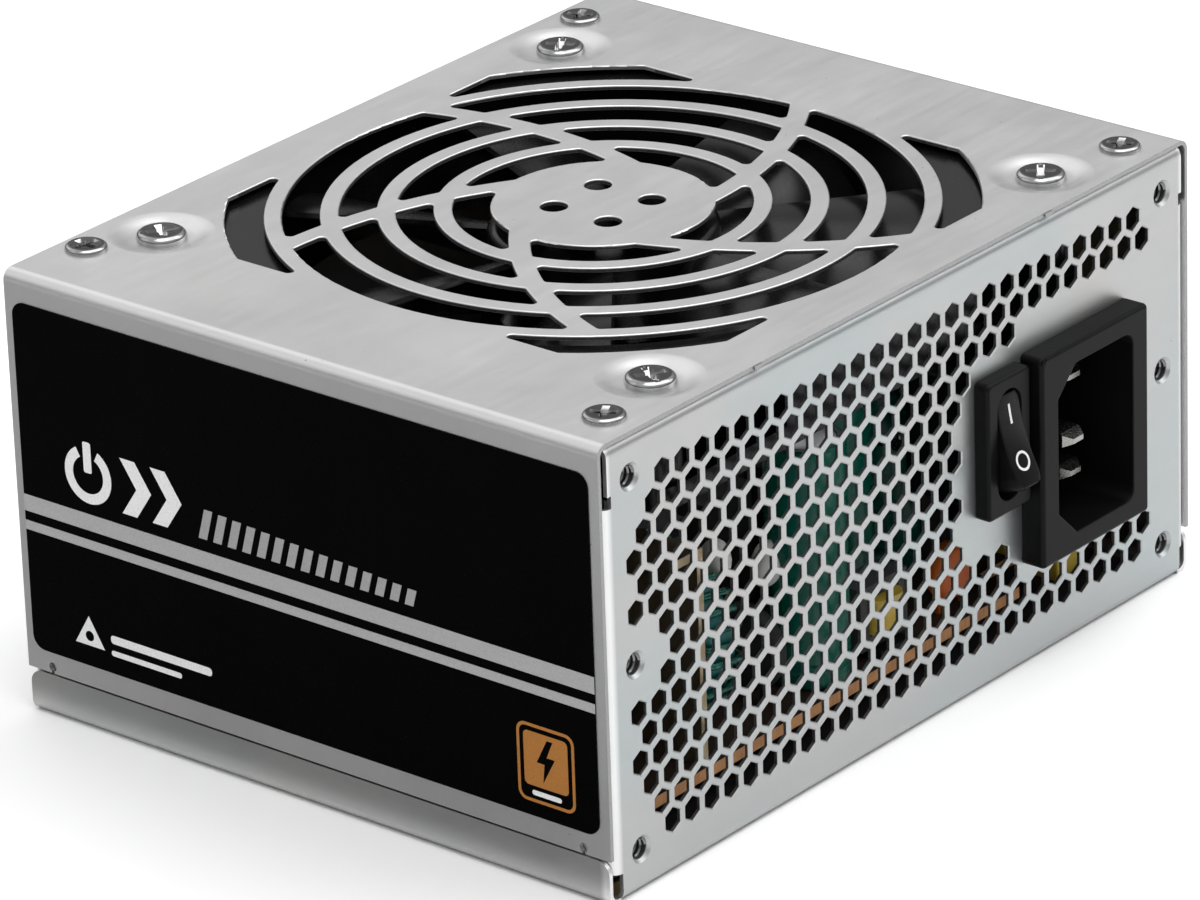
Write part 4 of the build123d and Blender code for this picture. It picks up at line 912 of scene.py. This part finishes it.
def winding(name, node, finish, axis, centre, core_r, hole_r, depth, wire_r, turns, start, sweep):
    """Round wire turns about a toroid whose axis is X or Z."""
    bm = bmesh.new()
    out, inn, half = core_r + wire_r, hole_r - wire_r, depth / 2 + wire_r
    corner = min(1.1, half * 0.8)
    section = rounded_box(inn, out, -half, half, corner, 4)
    for k in range(turns):
        angle = math.radians(start + sweep * k / max(1, turns - 1))
        lean = math.radians(sweep / max(1, turns - 1)) * 0.5
        path = []
        for radius, height in section:
            a = angle + lean * (height / half) * 0.5
            if axis == "X":
                path.append(centre + Vector((height, radius * math.sin(a), -radius * math.cos(a))))
            else:
                path.append(centre + Vector((radius * math.cos(a), radius * math.sin(a), height)))
        tube(bm, path, wire_r, loop=True)
    new_piece(name, bm, finish, "casing", "copper_wire", node, sharp=60)


def box_of(node):
    low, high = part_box(node)
    return low / MM, high / MM, (low + high) / 2 / MM


def make_windings():
    low, high, centre = box_of("input_choke_core")
    winding("input_choke_turns", "input_choke_winding", "winding_green", "X", centre,
            core_r=(high.z - low.z) / 2, hole_r=6.5, depth=high.x - low.x, wire_r=0.55,
            turns=29, start=31, sweep=298)
    low, high, centre = box_of("output_choke_core")
    winding("output_choke_turns", "output_choke_winding", "copper_wire", "Z", centre,
            core_r=(high.x - low.x) / 2, hole_r=5.5, depth=high.z - low.z, wire_r=0.62,
            turns=26, start=0, sweep=345)


CAN_PLACES = ((-9.6, -40.5), (8.0, -31.0), (25.0, -26.0))
CAN_TOP = ((0, 0), (4.2, 0), (4.2, 0.22), (4.05, 0.27), (0.5, 0.27), (0, 0.24))
CAN_TOP_SINK = 0.3                 # how far its foot sits below the top of the sleeve


def make_can_tops():
    """Bare aluminium tops, slightly dished, set in the sleeves of the large capacitors."""
    bm = bmesh.new()
    _, high, _ = box_of("primary_capacitors")
    for x, y in CAN_PLACES:
        rings = [circle(r, z, 40) for r, z in CAN_TOP]
        here = Vector((x, y, high.z - CAN_TOP_SINK))
        skin(bm, [[point + here for point in ring] for ring in rings])
    new_piece("capacitor_tops", bm, "aluminium_sheet", "casing", "aluminium_sheet")


def blob(bm, centre, size, seed):
    """A lump of cured silicone."""
    draw = random.Random(seed)
    made = bmesh.ops.create_icosphere(bm, subdivisions=3, radius=1.0)["verts"]
    waves = [(Vector([draw.uniform(-1, 1) for _ in range(3)]) * 3, draw.uniform(0, 6))
             for _ in range(5)]
    for vert in made:
        swell = 1 + 0.10 * sum(math.sin(vert.co.dot(w) + p) for w, p in waves)
        vert.co = Vector(centre) + Vector(c * s * swell for c, s in zip(vert.co, size))


SILICONE_DABS = (
    # centre and half-sizes
    ((-15.6, -38.6, 27.5), (2.2, 1.6, 2.6)),
    ((-3.9, -41.6, 31.0), (1.5, 1.4, 4.2)),
    ((-28.9, -41.0, 33.5), (1.6, 1.8, 2.4)),
    ((13.4, -33.5, 11.4), (2.4, 2.0, 1.8)),
)


def make_silicone():
    bm = bmesh.new()
    for seed, (centre, size) in enumerate(SILICONE_DABS):
        blob(bm, centre, size, seed)
    new_piece("silicone_dabs", bm, "silicone", "casing", "white_plastic", sharp=180)


make_label()
make_screws()
make_tapped_threads()
make_rocker_marks()
make_windings()
make_can_tops()
make_silicone()
